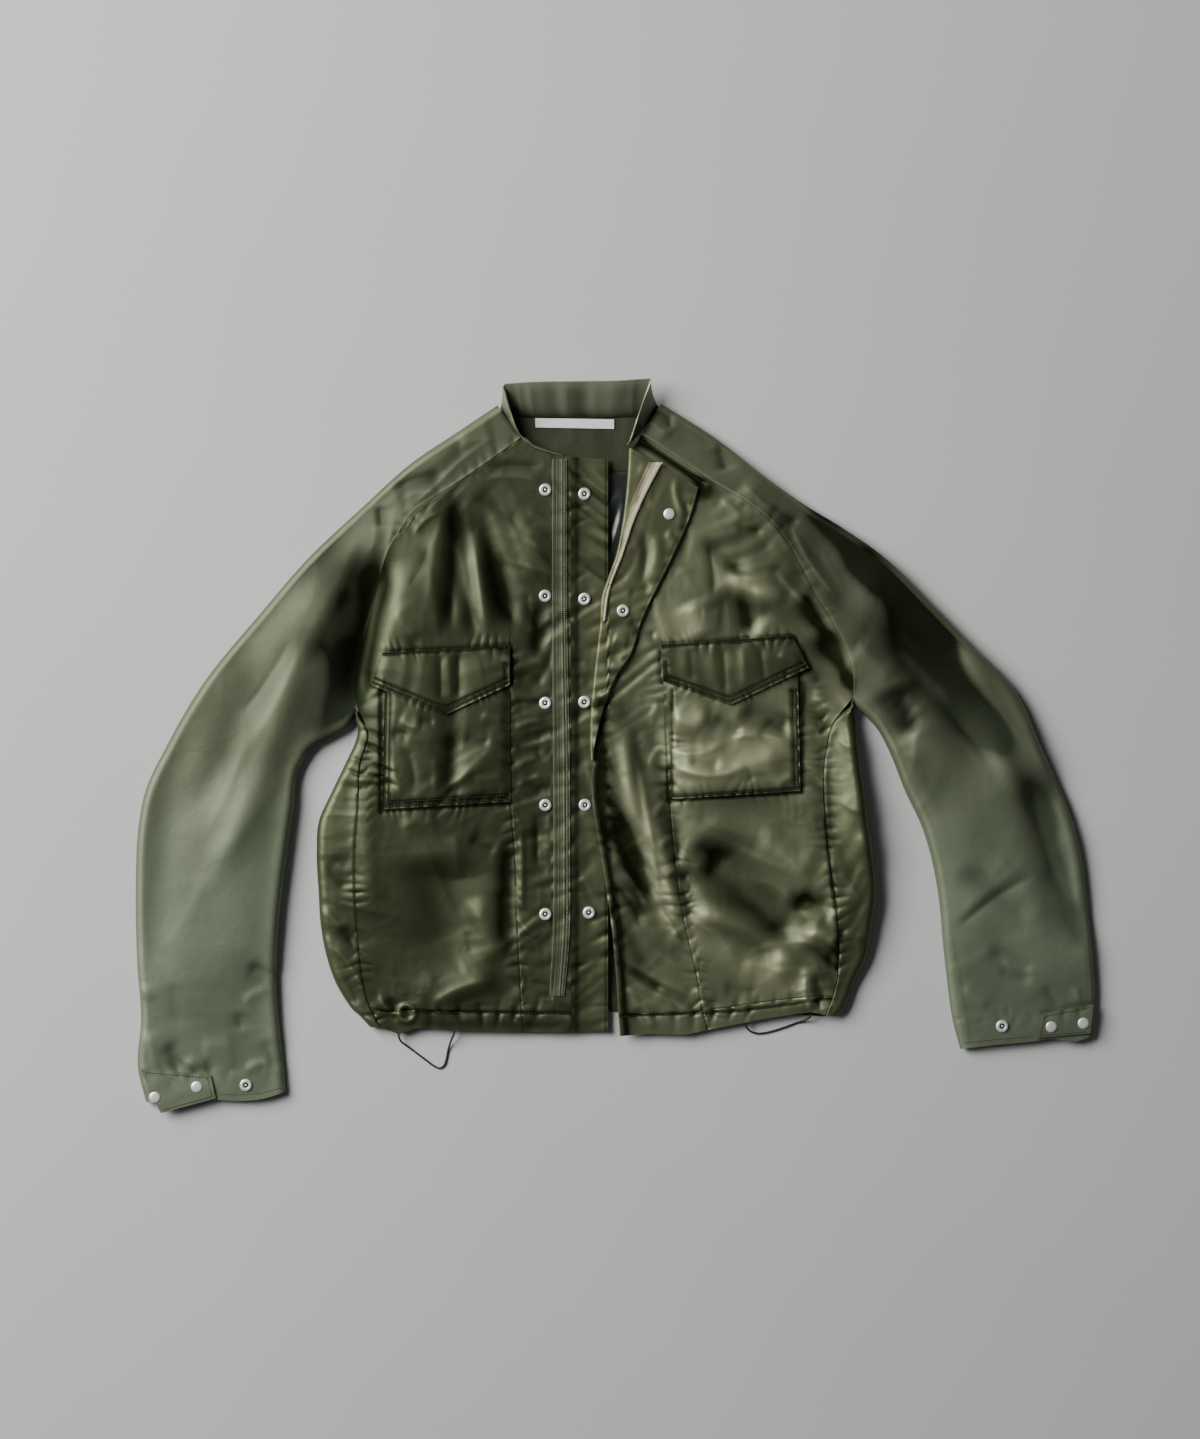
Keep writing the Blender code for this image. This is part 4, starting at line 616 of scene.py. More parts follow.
def puckers(x, y):
    """Short ladders square to the sewn lines: a exp(-(d/r)^2) (0.4 - c(s)^3).

    c is a wave along the line. Noise along it varies its spacing, slant, strength and reach, each
    side of the line for itself.
    """
    z = np.zeros(np.shape(x))
    for number, (line, spacing, reach, depth) in enumerate(PUCKERED):
        line = np.array(line, float)
        low, high = line.min(axis=0) - 3 * reach, line.max(axis=0) + 3 * reach
        near = (x > low[0]) & (x < high[0]) & (y > low[1]) & (y < high[1])
        if not near.any():
            continue
        px, py = x[near], y[near]
        best, place = along_line(px, py, line)
        (x0, y0), (x1, y1) = line[0], line[-1]
        lane = 17.0 * number + 400 * ((px - x0) * (y1 - y0) - (py - y0) * (x1 - x0) > 0)

        def drift(at, size, seed, shift=0):
            return noise(at, lane + shift, size * spacing, seed + number)

        slant = 1.6 * (drift(place, 3.1, 160) - 0.5)
        place = place + slant * best + 1.9 * spacing * drift(place, 2.1, 40)
        wave = 0.5 + 0.5 * np.cos(2 * np.pi * place / spacing)
        strength = np.clip(2.1 * drift(place, 1.9, 80) - 0.25, 0, 1.5)
        spread = reach * (0.5 + 1.1 * drift(place, 1.3, 120, 9))
        z[near] += depth * strength * bell(best, spread) * (0.4 - wave ** 3)
    return z


def top(x, y):
    """Height of the upper cloth: loft blend, folds, creases, puckers and crumpled ground."""
    x, y = np.broadcast_arrays(np.asarray(x, float), np.asarray(y, float))
    weights, total = 1e-9, 1e-8
    for spot_x, spot_y, height in LOFT:
        near = spot(x, y, spot_x, spot_y, 2 * LOFT_REACH ** 2)
        weights, total = weights + near, total + near * height
    z = FLOOR + total / weights + ridges(x, y, FOLDS) + ridges(x, y, SLOPES)
    z = z + CREASE_GAIN * ridges(x, y, CREASES, LEAN) + STREAK_GAIN * streaks(x, y)
    z = LEAST + SOFT * np.logaddexp(0, (z - LEAST) / SOFT) + PUCKER_GAIN * puckers(x, y)
    amount = CRUMPLE_LEAST
    for spot_x, spot_y, reach, share in CRUMPLED:
        amount = np.maximum(amount, share * spot(x, y, spot_x, spot_y, reach ** 2))
    z = z + CRUMPLE_GAIN * amount * sum(
        height * (ridged(x, y, size, seed) - CRUMPLE_MEAN) for size, seed, height in CRUMPLES)
    away = np.hypot(x - EYELET[0], y - EYELET[1])
    rim, hole = bell(away - EYELET[2], EYELET_RIM[1]), bell(away, EYELET_HOLE[1])
    return z + EYELET_RIM[0] * rim - EYELET_HOLE[0] * hole


def lifted(x, y, z):
    """Grid points from their three coordinates."""
    return np.stack(np.broadcast_arrays(x, y, z), axis=-1)


def raised(plan, lift=0.0):
    """Plan points on the upper cloth, moved up by lift."""
    x, y = plan[..., 0], plan[..., 1]
    return lifted(x, y, top(x, y) + lift)


print("loft", len(LOFT), "folds", len(FOLDS), "creases", len(CREASES), "sewn lines", len(PUCKERED))

# %% [markdown]
# ## Rows of thread
#
# The rows are wanted twice: those of the pockets and flaps press a line into the cloth, and later
# all of them carry the stitches.

# %%
PITCH, STITCH = 3.3, (2.4, 0.55, 0.32)  # along a row; a stitch's length, width and height

# name, plan line, height above the upper cloth
THREADS = (
    ("hem_right", ((402, 1011.5), (434, 1012.5), (571, 1013)), 0.5),
    ("hem_left", ((621, 1016.5), (680, 1014), (740, 1011), (800, 1003)), 0.5),
    ("pocket_right_a", ((387, 680), (385, 806.5), (508, 799.3)), 1.7),
    ("pocket_right_b", ((391.5, 690), (389.8, 802), (508, 795)), 1.9),
    ("pocket_left_a", ((672, 690), (671.6, 796.6), (798, 788.2), (795.5, 690)), 1.7),
    ("pocket_left_b", ((793.5, 784), (791, 690)), 1.9),
    ("flap_right_top", ((385, 655), (508, 647.7)), 3.6),
    ("flap_right_a", ((375, 683.5), (446, 712), (508, 683)), 6.1),
    ("flap_right_b", ((377, 679.5), (446, 707.5), (507, 679)), 6.1),
    ("flap_right_side", ((505.5, 664), (505.5, 680)), 6.1),
    ("flap_left_top", ((663, 647), (791, 638)), 3.6),
    ("flap_left_a", ((665, 679.5), (730, 702), (805, 666.5)), 6.1),
    ("flap_left_b", ((666, 675.5), (730, 697.5), (802, 663)), 6.1),
    ("flap_left_side", ((666, 662), (667, 677)), 6.1),
    ("raglan_right_a", ((402, 537), (416, 515), (432, 502.5), (457, 486.5), (520, 443)), 0.55),
    ("raglan_left_a", ((717, 480), (746, 498), (768, 514), (784, 531), (802, 560)), 0.55),
    ("front_edge",
     ((596, 785), (598, 813), (604, 851), (610, 889), (614, 920), (619, 958), (622, 1011)), 0.5),
    ("tab_right", ((145, 1072), (207.5, 1077.5), (212, 1096), (162, 1110)), 3.2),
    ("tab_left", ((1090, 1007), (1044, 1016), (1040, 1035.5), (1088, 1031)), 3.2),
    ("cuff_right", ((219, 1094), (237, 1095), (262, 1093), (283, 1087)), 0.5),
    ("cuff_left", ((963, 1043), (995, 1039.5), (1030, 1036.5)), 0.5),
    ("notch_a", ((452.5, 479), (457, 487.5)), 0.6),
    ("notch_b", ((454.2, 478), (458.7, 486.5)), 0.6),
)
# lines pressed round the pieces sewn on; they also get painted shade
EDGES = {
    "right": (
        ((381.8, 690), (381.6, 811), (512, 803)),
        ((371, 686), (446, 716.5), (511, 686), (511.5, 645)), ((382, 652), (511, 644.5)),
        ((381, 1010), (434, 1012), (571, 1013)),
    ),
    "left": (
        ((668, 690), (668.5, 800.5), (801.5, 792), (799, 672)),
        ((662, 682), (730, 706.5), (809.5, 668.5)),
        ((660, 680), (660, 644), (793, 635), (809.5, 667)), ((621, 1016), (740, 1011), (834, 998)),
        ((826, 821), (832, 884), (839.6, 933), (837, 969)),
    ),
}


def painted_shade_lines(points):
    """Painted shade: sum of a exp(-(d/r)^2) over the table of painted shade and light, d the
    distance to each stretch.
    """
    return sum(amount * bell(away_from(points, ((x0, y0), (x1, y1))), reach)
               for x0, y0, x1, y1, reach, amount in PAINTED_SHADE_LINES)


def pressed(points, lines, depth, width):
    """Press lines into a grid, h exp(-(d/w)^2), and give how far each point is pressed, 0 to 1."""
    share = np.zeros(points.shape[:2])
    for line in lines:
        share = np.maximum(share, bell(away_from(points, line), width))
    points[..., 2] -= depth * share
    return share


def rows_of(word):
    """Lines of the rows of thread whose names begin with a word."""
    return [line for name, line, lift in THREADS if name.startswith(word)]


print("rows of thread", len(THREADS))

# %% [markdown]
# ## From a grid to a piece of cloth
#
# `wall` gives a grid of points two faces and a rim. Each piece keeps a `fold` value for its
# material: 0.5 on even cloth, towards 1 on a ridge, and towards 0 in a trough, along a line of
# painted shade and where shade is painted by place. So it paints shade in the troughs and a
# highlight on the ridges.

# %%
RELIEF_REACH, RELIEF_RANGE = 8, 5.5  # cells on each side, and millimetres from 0 to 1
# shares by which painted shade along lines and painted shade set by place lower the fold value
PAINTED_SHADE_SHARE, PAINTED_SHADE_LINES_SHARE = 0.7, 0.6
SHARP = 0.9  # an edge is sharp above this angle
made = {}


def normals(points, closed=False):
    """Unit normals from central differences along the rows and columns of a grid."""
    along = np.gradient(points, axis=0)
    if closed:
        across = (np.roll(points, -1, axis=1) - np.roll(points, 1, axis=1)) / 2
    else:
        across = np.gradient(points, axis=1)
    return unit(np.cross(along, across))


def upward(points):
    """Normals of an open panel, turned so that they face up."""
    normal = normals(points)
    return normal * np.where(normal[..., 2:] < 0, -1.0, 1.0)


def turned(vectors):
    """Vectors of the sheet, y down, as vectors of the frame, y up."""
    return vectors * (1.0, -1.0, 1.0)


def placed(points):
    """Points of the sheet as points of the frame."""
    return turned(points - ORIGIN)


def mesh_object(name, vertices, faces):
    """A mesh piece from arrays in the frame's millimetres; faces have the same corner count."""
    mesh = bpy.data.meshes.new(name)
    mesh.vertices.add(len(vertices))
    mesh.vertices.foreach_set("co", (vertices * MM).astype(np.float32).ravel())
    mesh.loops.add(faces.size)
    mesh.loops.foreach_set("vertex_index", faces.astype(np.int32).ravel())
    mesh.polygons.add(len(faces))
    starts = np.arange(0, faces.size, faces.shape[1], dtype=np.int32)
    mesh.polygons.foreach_set("loop_start", starts)
    mesh.update(calc_edges=True)
    mesh.polygons.foreach_set("use_smooth", np.full(len(faces), True))
    piece = bpy.data.objects.new(name, mesh)
    bpy.context.scene.collection.objects.link(piece)
    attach(piece, "root")
    made[name] = piece
    return piece


def keep_values(piece, name, values):
    """A value for each vertex, for the material to read."""
    layer = piece.data.attributes.new(name, "FLOAT", "POINT")
    layer.data.foreach_set("value", values.astype(np.float32))


def facing_out(faces, vertices, out):
    """Faces in the order of corners that makes their normals agree with the way out."""
    a, b, c = (vertices[faces[:, k]] for k in range(3))
    return faces[:, ::-1] if np.sum(np.cross(b - a, c - a) * out) < 0 else faces


def relief(height, reach=RELIEF_REACH):
    """Height above the mean of the square of cells around each point."""
    mean, size = height, 2 * reach + 1
    for axis in (0, 1):
        before, after = (np.repeat(mean.take([end], axis), reach, axis) for end in (0, -1))
        padded = np.concatenate([before, mean, after], axis)
        zero = np.zeros_like(padded.take([0], axis))
        total = np.cumsum(np.concatenate([zero, padded], axis), axis)
        count = height.shape[axis]
        mean = (total.take(range(size, size + count), axis) - total.take(range(count), axis)) / size
    return height - mean


def quads(index):
    """Corners of the cells between the rows and columns of an index grid."""
    cells = np.stack((index[:-1, :-1], index[1:, :-1], index[1:, 1:], index[:-1, 1:]), axis=-1)
    return cells.reshape(-1, 4)


def wall(name, points, normal, thick=SHELL, mask=None, closed=False, painted_shade=0.0):
    """A closed wall of even thickness round a grid; mask names the cells that exist."""
    count = points.shape[0] * points.shape[1]
    index = np.arange(count).reshape(points.shape[:2])
    if closed:
        index = np.concatenate([index, index[:, :1]], axis=1)
    cells = quads(index)
    if mask is not None:
        cells = cells[mask.ravel()]
    place, out = placed(points.reshape(-1, 3)), turned(normal.reshape(-1, 3))
    cells = facing_out(cells, place, out[cells[:, 0]])
    edges = np.concatenate([cells[:, [k, (k + 1) % 4]] for k in range(4)])
    rim = edges[~np.isin(edges[:, 0] * count + edges[:, 1], edges[:, 1] * count + edges[:, 0])]
    sides = np.column_stack([rim[:, 1], rim[:, 0], rim[:, 0] + count, rim[:, 1] + count])
    faces = np.concatenate([cells, cells[:, ::-1] + count, sides])
    vertices = np.concatenate([place + out * thick / 2, place - out * thick / 2])
    used, faces = np.unique(faces, return_inverse=True)
    piece = mesh_object(name, vertices[used], faces.reshape(-1, 4))
    piece.data.set_sharp_from_angle(angle=SHARP)
    # painted shade in the troughs and painted highlight on the ridges, less the painted shade of
    # lines and places
    fold = 0.5 + relief(points[..., 2]) / RELIEF_RANGE - PAINTED_SHADE_SHARE * painted_shade - PAINTED_SHADE_LINES_SHARE * painted_shade_lines(points)
    fold = np.clip(fold, 0, 1).ravel()
    keep_values(piece, "fold", np.r_[fold, fold][used])
    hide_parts(name)
    return piece


def area(piece):
    """Half the skin of a wall, in square metres: the cloth that it takes."""
    values = np.zeros(len(piece.data.polygons), np.float32)
    piece.data.polygons.foreach_get("area", values)
    return float(values.sum()) / 2


def measured(*names):
    """Areas of pieces, rounded for a line of print."""
    return [round(area(made[name]), 4) for name in names]


def beside(line, gap):
    """A plan line moved sideways by gap, to the right of its way on the sheet."""
    way = unit(np.gradient(line, axis=0))
    return line + gap * np.column_stack([-way[:, 1], way[:, 0]])


def four_sided(corners, rows, columns):
    """Plan grid between four corners, first row from the first to the second."""
    a, b, c, d = np.array(corners, float)
    s = np.linspace(0, 1, rows + 1)[:, None, None]
    t = np.linspace(0, 1, columns + 1)[None, :, None]
    return (1 - s) * ((1 - t) * a + t * b) + s * ((1 - t) * d + t * c)


# %% [markdown]
# ## Sleeves
#
# Each row of a sleeve is a ring: over the top, round the inner side, back along the surface, and
# up round the outer side. Above the underarm the ring is open along the raglan seam.

# %%
ARM_ROWS, CAP_ROWS = 150, 130  # below and above the underarm
TOP_CELLS, LOW_CELLS, ROLL_CELLS = 50, 24, 8
LOW_FIRST = TOP_CELLS + ROLL_CELLS  # place in the ring where the lower cloth begins
LOW_END = LOW_FIRST + LOW_CELLS + 1
TURN = np.linspace(90, -90, ROLL_CELLS + 1) * np.pi / 180  # from the top of a roll to its foot
END_REACH = 0.2  # share of a sleeve over which its end's own line fades out
PINCH = 8  # rows over which the inner roll turns towards the underarm's seam
LOW_CREASES = ((60, 21, 0.8, 2), (23, 25, 0.3, 3))  # size, seed, height, power
QUIET = (480, 60)  # the lower cloth is even above this y, and its creases rise over this reach


def low_cloth(x, y):
    """Height of the cloth on the surface: flat, with soft shallow creases lifted off it."""
    rise = step_up((y - QUIET[0]) / QUIET[1])
    return FLOOR + rise * sum(height * ridged(x, y, size, seed) ** power
                              for size, seed, height, power in LOW_CREASES)


def rolled(low, high, turn):
    """Height on a roll between two levels: low + (high - low)/2 (1 + sin a)."""
    return low + (high - low) / 2 * (1 + np.sin(turn))


def sleeve_grid(side):
    """Rings of a sleeve; ring place u runs 0 at the outer side to 1 at the inner side."""
    lines, part = SLEEVES[side], ARM_SHARE[side]
    arm = np.linspace(0, 1, ARM_ROWS + 1)
    cap = np.linspace(0, 1, CAP_ROWS + 1)[1:]
    outer = outline(lines["outer"], np.r_[arm * part, part + (1 - part) * cap])
    inner = np.concatenate([outline(lines["inner"], arm), outline(lines["raglan"], cap)])
    outer_edge = ROLL / np.linalg.norm(inner - outer, axis=1)[:, None]
    inner_edge = outer_edge.copy()
    inner_edge[ARM_ROWS + 1:] = 0
    span, turn = 1 - outer_edge - inner_edge, TURN[1:-1]
    u = np.concatenate([
        outer_edge + np.linspace(0, 1, TOP_CELLS + 1) * span,
        1 - inner_edge * (1 - np.cos(turn)),
        outer_edge + np.linspace(1, 0, LOW_CELLS + 1) * span,
        outer_edge * (1 - np.cos(turn[::-1])),
    ], axis=1)
    cuff, neck = outline(lines["cuff"], u), outline(lines["neck"], u)
    u, t = u[..., None], np.r_[arm, 1 + cap][:, None, None] / 2
    plan = (1 - u) * outer[:, None] + u * inner[:, None]
    plan = plan + step_up(1 - t / END_REACH) * (cuff - (1 - u) * outer[0] - u * inner[0])
    plan = plan + step_up(1 - (1 - t) / END_REACH) * (neck - (1 - u) * outer[-1] - u * inner[-1])
    roll, low = slice(TOP_CELLS + 1, LOW_FIRST), slice(LOW_FIRST, LOW_END)
    inward = ROLL * np.cos(turn)[:, None] * (0, 1)
    for row in range(ARM_ROWS - PINCH + 1, ARM_ROWS + 1):
        part = step_up((row - ARM_ROWS + PINCH) / PINCH)
        plan[row, roll] = (1 - part) * plan[row, roll] + part * (plan[row, TOP_CELLS] + inward)
    x, y = plan[..., 0], plan[..., 1]
    height, ground = top(x, y), low_cloth(x, y)[:, low]
    height[:, roll] = rolled(ground[:, :1], height[:, TOP_CELLS:TOP_CELLS + 1], turn)
    height[:, low] = ground
    height[:, LOW_END:] = rolled(ground[:, -1:], height[:, :1], turn[::-1])
    return lifted(x, y, height)


def build_sleeve(side):
    """One sleeve as a thin wall; gives its grid."""
    points = sleeve_grid(side)
    normal = normals(points, closed=True)
    normal = normal * np.sign(normal[ARM_ROWS // 2, TOP_CELLS // 2, 2])
    normal[ARM_ROWS + 1:, TOP_CELLS] = UP
    normal[ARM_ROWS + 1:, LOW_FIRST] = DOWN
    mask = np.ones((ARM_ROWS + CAP_ROWS, points.shape[1]), bool)
    mask[ARM_ROWS:, TOP_CELLS:LOW_FIRST] = False
    wall(f"sleeve_{side}", points, normal, mask=mask, closed=True)
    return points


tubes = {side: build_sleeve(side) for side in SLEEVES}
print("sleeves", *(tube.shape for tube in tubes.values()))
print("areas", measured("sleeve_right", "sleeve_left"), "m2")

# %% [markdown]
# ## Fronts and back
#
# A front's rows run from the hem to the neckline. Its columns crowd round the yoke seam, which is
# pressed into a groove, and its rows crowd round the hem's stitch line in the same way.

# %%
BODY_ROWS = 210
KEYS = 13.0  # last row of the front tables
CAP_STEP = CAP_ROWS / 14  # rows of the cap in one of its 14 steps
SIDE_CELLS, POCKET_CELLS, FRONT_CELLS = 14, 72, 30
GROOVE = (-2.2, -0.9, 0.0, 0.9, 2.2)  # columns beside the yoke seam
HEM_KEYS = (0.9, 0.96, 1.0, 1.04, 1.1)  # rows beside the hem's stitch line
HEM_CLEAR = 0.13  # the even rows keep this far from it
YOKE_PRESS, YOKE_Y, HEM_PRESS = 0.45, 640, 0.5
UNDERARM_SHARE, EASE_STEPS = 0.3, 2.5  # the seam's first rows crowd away from the underarm
NECK_CROWDING = 0.9
FLY_FADE = 20.0
HEM_FADE = (0, 1, 2, 3), (1, 0.6, 0.25, 0)  # by key, how much of the hem's line a row takes
NECK_FADE = (0, 1, 2, 3), (1, 0.7, 0.4, 0)  # the same by steps down from the neck
NECK_SLOT = ((634, 437), (702, 483))  # where the left front dips beside the neck
SLOT_SHADE_ENDS = ((636, 442, 12), (704, 488, 13))  # x, y, reach of the painted shade at its ends
SLOT_PRESS, SLOT_SHADE = (3.0, 3.5), (0.6, 3.0)  # depth or painted shade, and width
LOOSE_LIFT = (1.6, 5)  # height and width of the rise at the loose edge
LOOSE_SHADE_AND_HIGHLIGHT = ((0.9, 6, 4), (-0.8, 0, 1.3))  # painted shade (positive) or painted highlight (negative), way in from the edge, width: shade below the loose edge, highlight on its rim
# painted shade along the dents round the pieces sewn on
EDGE_SHADE = 0.6
EDGE_PRESS = (0.7, 2.0)  # depth and width of the dents round the pieces sewn on


def body_keys():
    """Row keys of a front below the underarm, with the extra rows at the hem's stitch line."""
    keys = np.linspace(0, KEYS, BODY_ROWS + 1)
    keys = keys[np.abs(keys - 1.0) > HEM_CLEAR]
    return np.sort(np.r_[keys, HEM_KEYS])


def loose_edge(points):
    """How loose the left front's edge is below the turned-back part, and the way in from it."""
    loose = step_up((points[..., 1] - FLY_END + 10) / 20)
    return loose, np.abs(points[..., 0] - points[:, -1:, 0])


def front_line(side, rows, gap):
    """The front edge of a panel, from the hem to the neck."""
    line, start = FRONT_LINE[side], rows[-1, 5]
    y = start + (line[0][1] - start) * np.linspace(0, 1, CAP_ROWS + 1) ** NECK_CROWDING
    front = np.concatenate([rows[:, 4:6], np.column_stack([across_at(line, y), y])[1:]])
    front[:, 0] += gap * step_up((FLY_END + FLY_FADE - front[:, 1]) / FLY_FADE)
    return front


def front_grid(side, table, hem, front_gap):
    """A front panel between its side or raglan edge and its front edge."""
    keys = body_keys()
    last, cap = len(keys) - 1, np.arange(CAP_ROWS + 1)
    rows = spline(table, keys)
    raglan = tubes[side][ARM_ROWS:, TOP_CELLS]
    gap = SEAM if side == "right" else -SEAM
    seam = np.column_stack([beside(raglan[:, :2], gap), raglan[:, 2]])
    ease = np.interp(cap, (0, EASE_STEPS * CAP_STEP, CAP_ROWS),
                     (UNDERARM_SHARE * CAP_STEP, EASE_STEPS * CAP_STEP, CAP_ROWS))
    seam = np.stack([np.interp(ease, cap, column) for column in seam.T], axis=-1)
    front = front_line(side, rows, front_gap)
    edge = np.concatenate([rows[:, :2], seam[1:, :2]])
    edge[:last + 1] += step_up(keys - KEYS + 1)[:, None] * (seam[0, :2] - edge[last])
    pocket, yoke = (np.pad((rows[:, k] - rows[:, 0]) / (rows[:, 4] - rows[:, 0]),
                           (0, CAP_ROWS), "edge") for k in (2, 3))
    width = np.abs(front[:, 0] - edge[:, 0])
    first, final = yoke + GROOVE[0] / width, yoke + GROOVE[-1] / width
    share = np.column_stack([
        *(pocket * k / SIDE_CELLS for k in range(SIDE_CELLS)),
        *(pocket + (first - pocket) * k / POCKET_CELLS for k in range(POCKET_CELLS)),
        *(yoke + g / width for g in GROOVE),
        *(final + (1 - final) * k / FRONT_CELLS for k in range(1, FRONT_CELLS + 1)),
    ])[..., None]
    plan = edge[:, None] * (1 - share) + front[:, None] * share
    drop = np.interp(plan[0, :, 0], *np.transpose(hem)) - plan[0, :, 1]
    plan[..., 1] += np.interp(np.pad(keys, (0, CAP_ROWS), "edge"), *HEM_FADE)[:, None] * drop
    neck = straight(NECKLINE[side], share[-1, :, 0])
    bend = neck - (neck[:1] * (1 - share[-1]) + neck[-1:] * share[-1])
    plan += np.interp(np.arange(len(plan))[::-1] / CAP_STEP, *NECK_FADE)[:, None, None] * bend
    points = raised(plan)
    points[last:, 0, 2] = seam[:, 2]
    column = SIDE_CELLS + POCKET_CELLS + GROOVE.index(0.0)
    points[plan[:, column, 1] > YOKE_Y, column, 2] -= YOKE_PRESS
    points[np.argmin(np.abs(keys - 1.0)), :, 2] -= HEM_PRESS
    if side == "left":
        depth, reach = SLOT_PRESS
        points[:, 1:, 2] -= depth * bell(away_from(plan, NECK_SLOT)[:, 1:], reach)
        loose, inward = loose_edge(plan)
        points[..., 2] += LOOSE_LIFT[0] * loose * bell(inward, LOOSE_LIFT[1])
    return points


def left_painted_shade(points):
    """Painted shade beside the neck and below the loose edge, and a painted highlight on that
    edge's rim.
    """
    x, y = points[..., 0], points[..., 1]
    loose, inward = loose_edge(points)
    painted_shade = SLOT_SHADE[0] * bell(away_from(points, NECK_SLOT), SLOT_SHADE[1])
    painted_shade = painted_shade + sum(spot(x, y, spot_x, spot_y, reach ** 2) for spot_x, spot_y, reach in SLOT_SHADE_ENDS)
    return painted_shade + loose * sum(amount * bell(inward - start, reach)
                              for amount, start, reach in LOOSE_SHADE_AND_HIGHLIGHT)


def build_front(side, table, hem, front_gap):
    """One front panel as a thin wall; gives its grid."""
    points = front_grid(side, table, hem, front_gap)
    normal = upward(points)
    normal[:, [0, -1]] = UP
    # painted shade along the dents
    painted_shade = EDGE_SHADE * pressed(points, EDGES[side], *EDGE_PRESS)
    if side == "left":
        painted_shade = painted_shade + left_painted_shade(points)
    wall(f"front_{side}", points, normal, painted_shade=painted_shade)
    return points


fronts = {
    "right": build_front("right", RIGHT_FRONT, RIGHT_HEM, 0.0),
    "left": build_front("left", LEFT_FRONT, LEFT_HEM, FOLD + 1.5 * SEAM),
}
print("fronts", *(front.shape for front in fronts.values()))
print("areas", measured("front_right", "front_left"), "m2")

# %%
FLOOR_CELLS, STRIP_CELLS = 84, 14
UNDERARM_GAP = 2.8
LAP = 3.0  # how far the back's edge runs on below a front
LAP_DROP, LAP_REACH = 2.1, 1.6  # how far it dips there, and within what
BACK_NECK_DROP, BACK_NECK_ROWS, BACK_HEM_ROWS = 4.5, 8.0, 24.0
BODY_COUNT = len(body_keys())
FLAT_FIRST = STRIP_CELLS + ROLL_CELLS  # columns of the part that lies on the surface
FLAT = slice(FLAT_FIRST, FLAT_FIRST + FLOOR_CELLS + 1)


def side_half(way, edge, front, tube):
    """One side of the body: the back's strip on top, then its roll down to the surface."""
    seam = front[:BODY_COUNT, 0]
    level = seam[:, 1]
    side = spline(BODY, level)[:, edge]
    tangent = side + way * ROLL
    reach = np.maximum(way * (seam[:, 0] - tangent) + LAP, 1.0)
    strip = np.linspace(1, 0, STRIP_CELLS + 1)[:-1]
    over = tangent[:, None] + way * reach[:, None] * strip
    under = LAP_DROP * step_up(1 - way * (seam[:, :1] - over) / LAP_REACH)
    flap = lifted(over, level[:, None], top(over, level[:, None]) - under)
    x = side[:, None] + way * ROLL * (1 - np.cos(TURN))
    roll = lifted(x, level[:, None], rolled(FLOOR, top(tangent, level)[:, None], TURN))
    rows = np.concatenate([flap, roll], axis=1)
    end = tube[ARM_ROWS, TOP_CELLS:LOW_FIRST + 1] + (3 * way * SEAM, UNDERARM_GAP, 0)
    last = np.concatenate([np.repeat(end[:1], STRIP_CELLS, axis=0), end])
    line = np.interp(-end[0, 1], -seam[-20:, 1], seam[-20:, 0])
    last[:STRIP_CELLS, 0] += (line - 2 * way * SEAM - end[0, 0]) * strip
    fade = step_up(1 - np.arange(len(rows))[::-1] / (BODY_ROWS / KEYS))
    return rows + fade[:, None, None] * (last - rows[-1])


def build_back():
    """The back: flat on the surface, rolled up and over at both sides to the side seams."""
    west_half = side_half(1, 0, fronts["right"], tubes["right"])
    east_half = side_half(-1, 1, fronts["left"], tubes["left"])[:, ::-1]
    share = np.linspace(0, 1, FLOOR_CELLS + 1)[:, None]
    floor = west_half[:, -1:] * (1 - share[1:-1]) + east_half[:, :1] * share[1:-1]
    body = np.concatenate([west_half, floor, east_half], axis=1)
    inside = slice(FLAT.start + 1, FLAT.stop - 1)
    drop = np.interp(body[0, inside, 0], *np.transpose(BACK_HEM)) - body[0, inside, 1]
    body[:, inside, 1] += step_up(1 - np.arange(len(body)) / BACK_HEM_ROWS)[:, None] * drop
    west = beside(tubes["right"][ARM_ROWS:, LOW_FIRST, :2], SEAM)[1:]
    east = beside(tubes["left"][ARM_ROWS:, LOW_FIRST, :2], -SEAM)[1:]
    yoke = west[:, None] * (1 - share) + east[:, None] * share
    rise = step_up(1 - np.arange(len(yoke))[::-1] / BACK_NECK_ROWS)[:, None]
    yoke[..., 1] += rise * BACK_NECK_DROP * np.minimum(1, 3 * np.sin(np.pi * share[:, 0]))
    above = np.repeat(body[-1:], len(west), axis=0)
    above[:, FLAT, :2] = yoke
    points = np.concatenate([body, above])
    mask = np.ones((len(points) - 1, body.shape[1] - 1), bool)
    mask[BODY_COUNT - 1:, :FLAT.start] = mask[BODY_COUNT - 1:, FLAT.stop - 1:] = False
    rise = np.sin(np.pi * share[:, 0]) ** 0.5
    points[:, FLAT, 2] += rise * (low_cloth(points[:, FLAT, 0], points[:, FLAT, 1]) - FLOOR)
    below = normals(body)
    normal = np.zeros_like(points)
    normal[:BODY_COUNT] = below * -np.sign(below[30, FLAT.start + 30, 2])
    normal[BODY_COUNT:, FLAT] = DOWN
    normal[:, [0, -1]] = UP
    wall("back", points, normal, mask=mask)


build_back()
print("back", measured("back"), "m2")

# %% [markdown]
# ## Pockets, flaps, strip, turned-back edge, tabs
#
# A patch pocket is sewn down along three sides and stands a little off the front between them. A
# pointed flap is sewn along its upper edge. The placket strip drops below the front beside it.

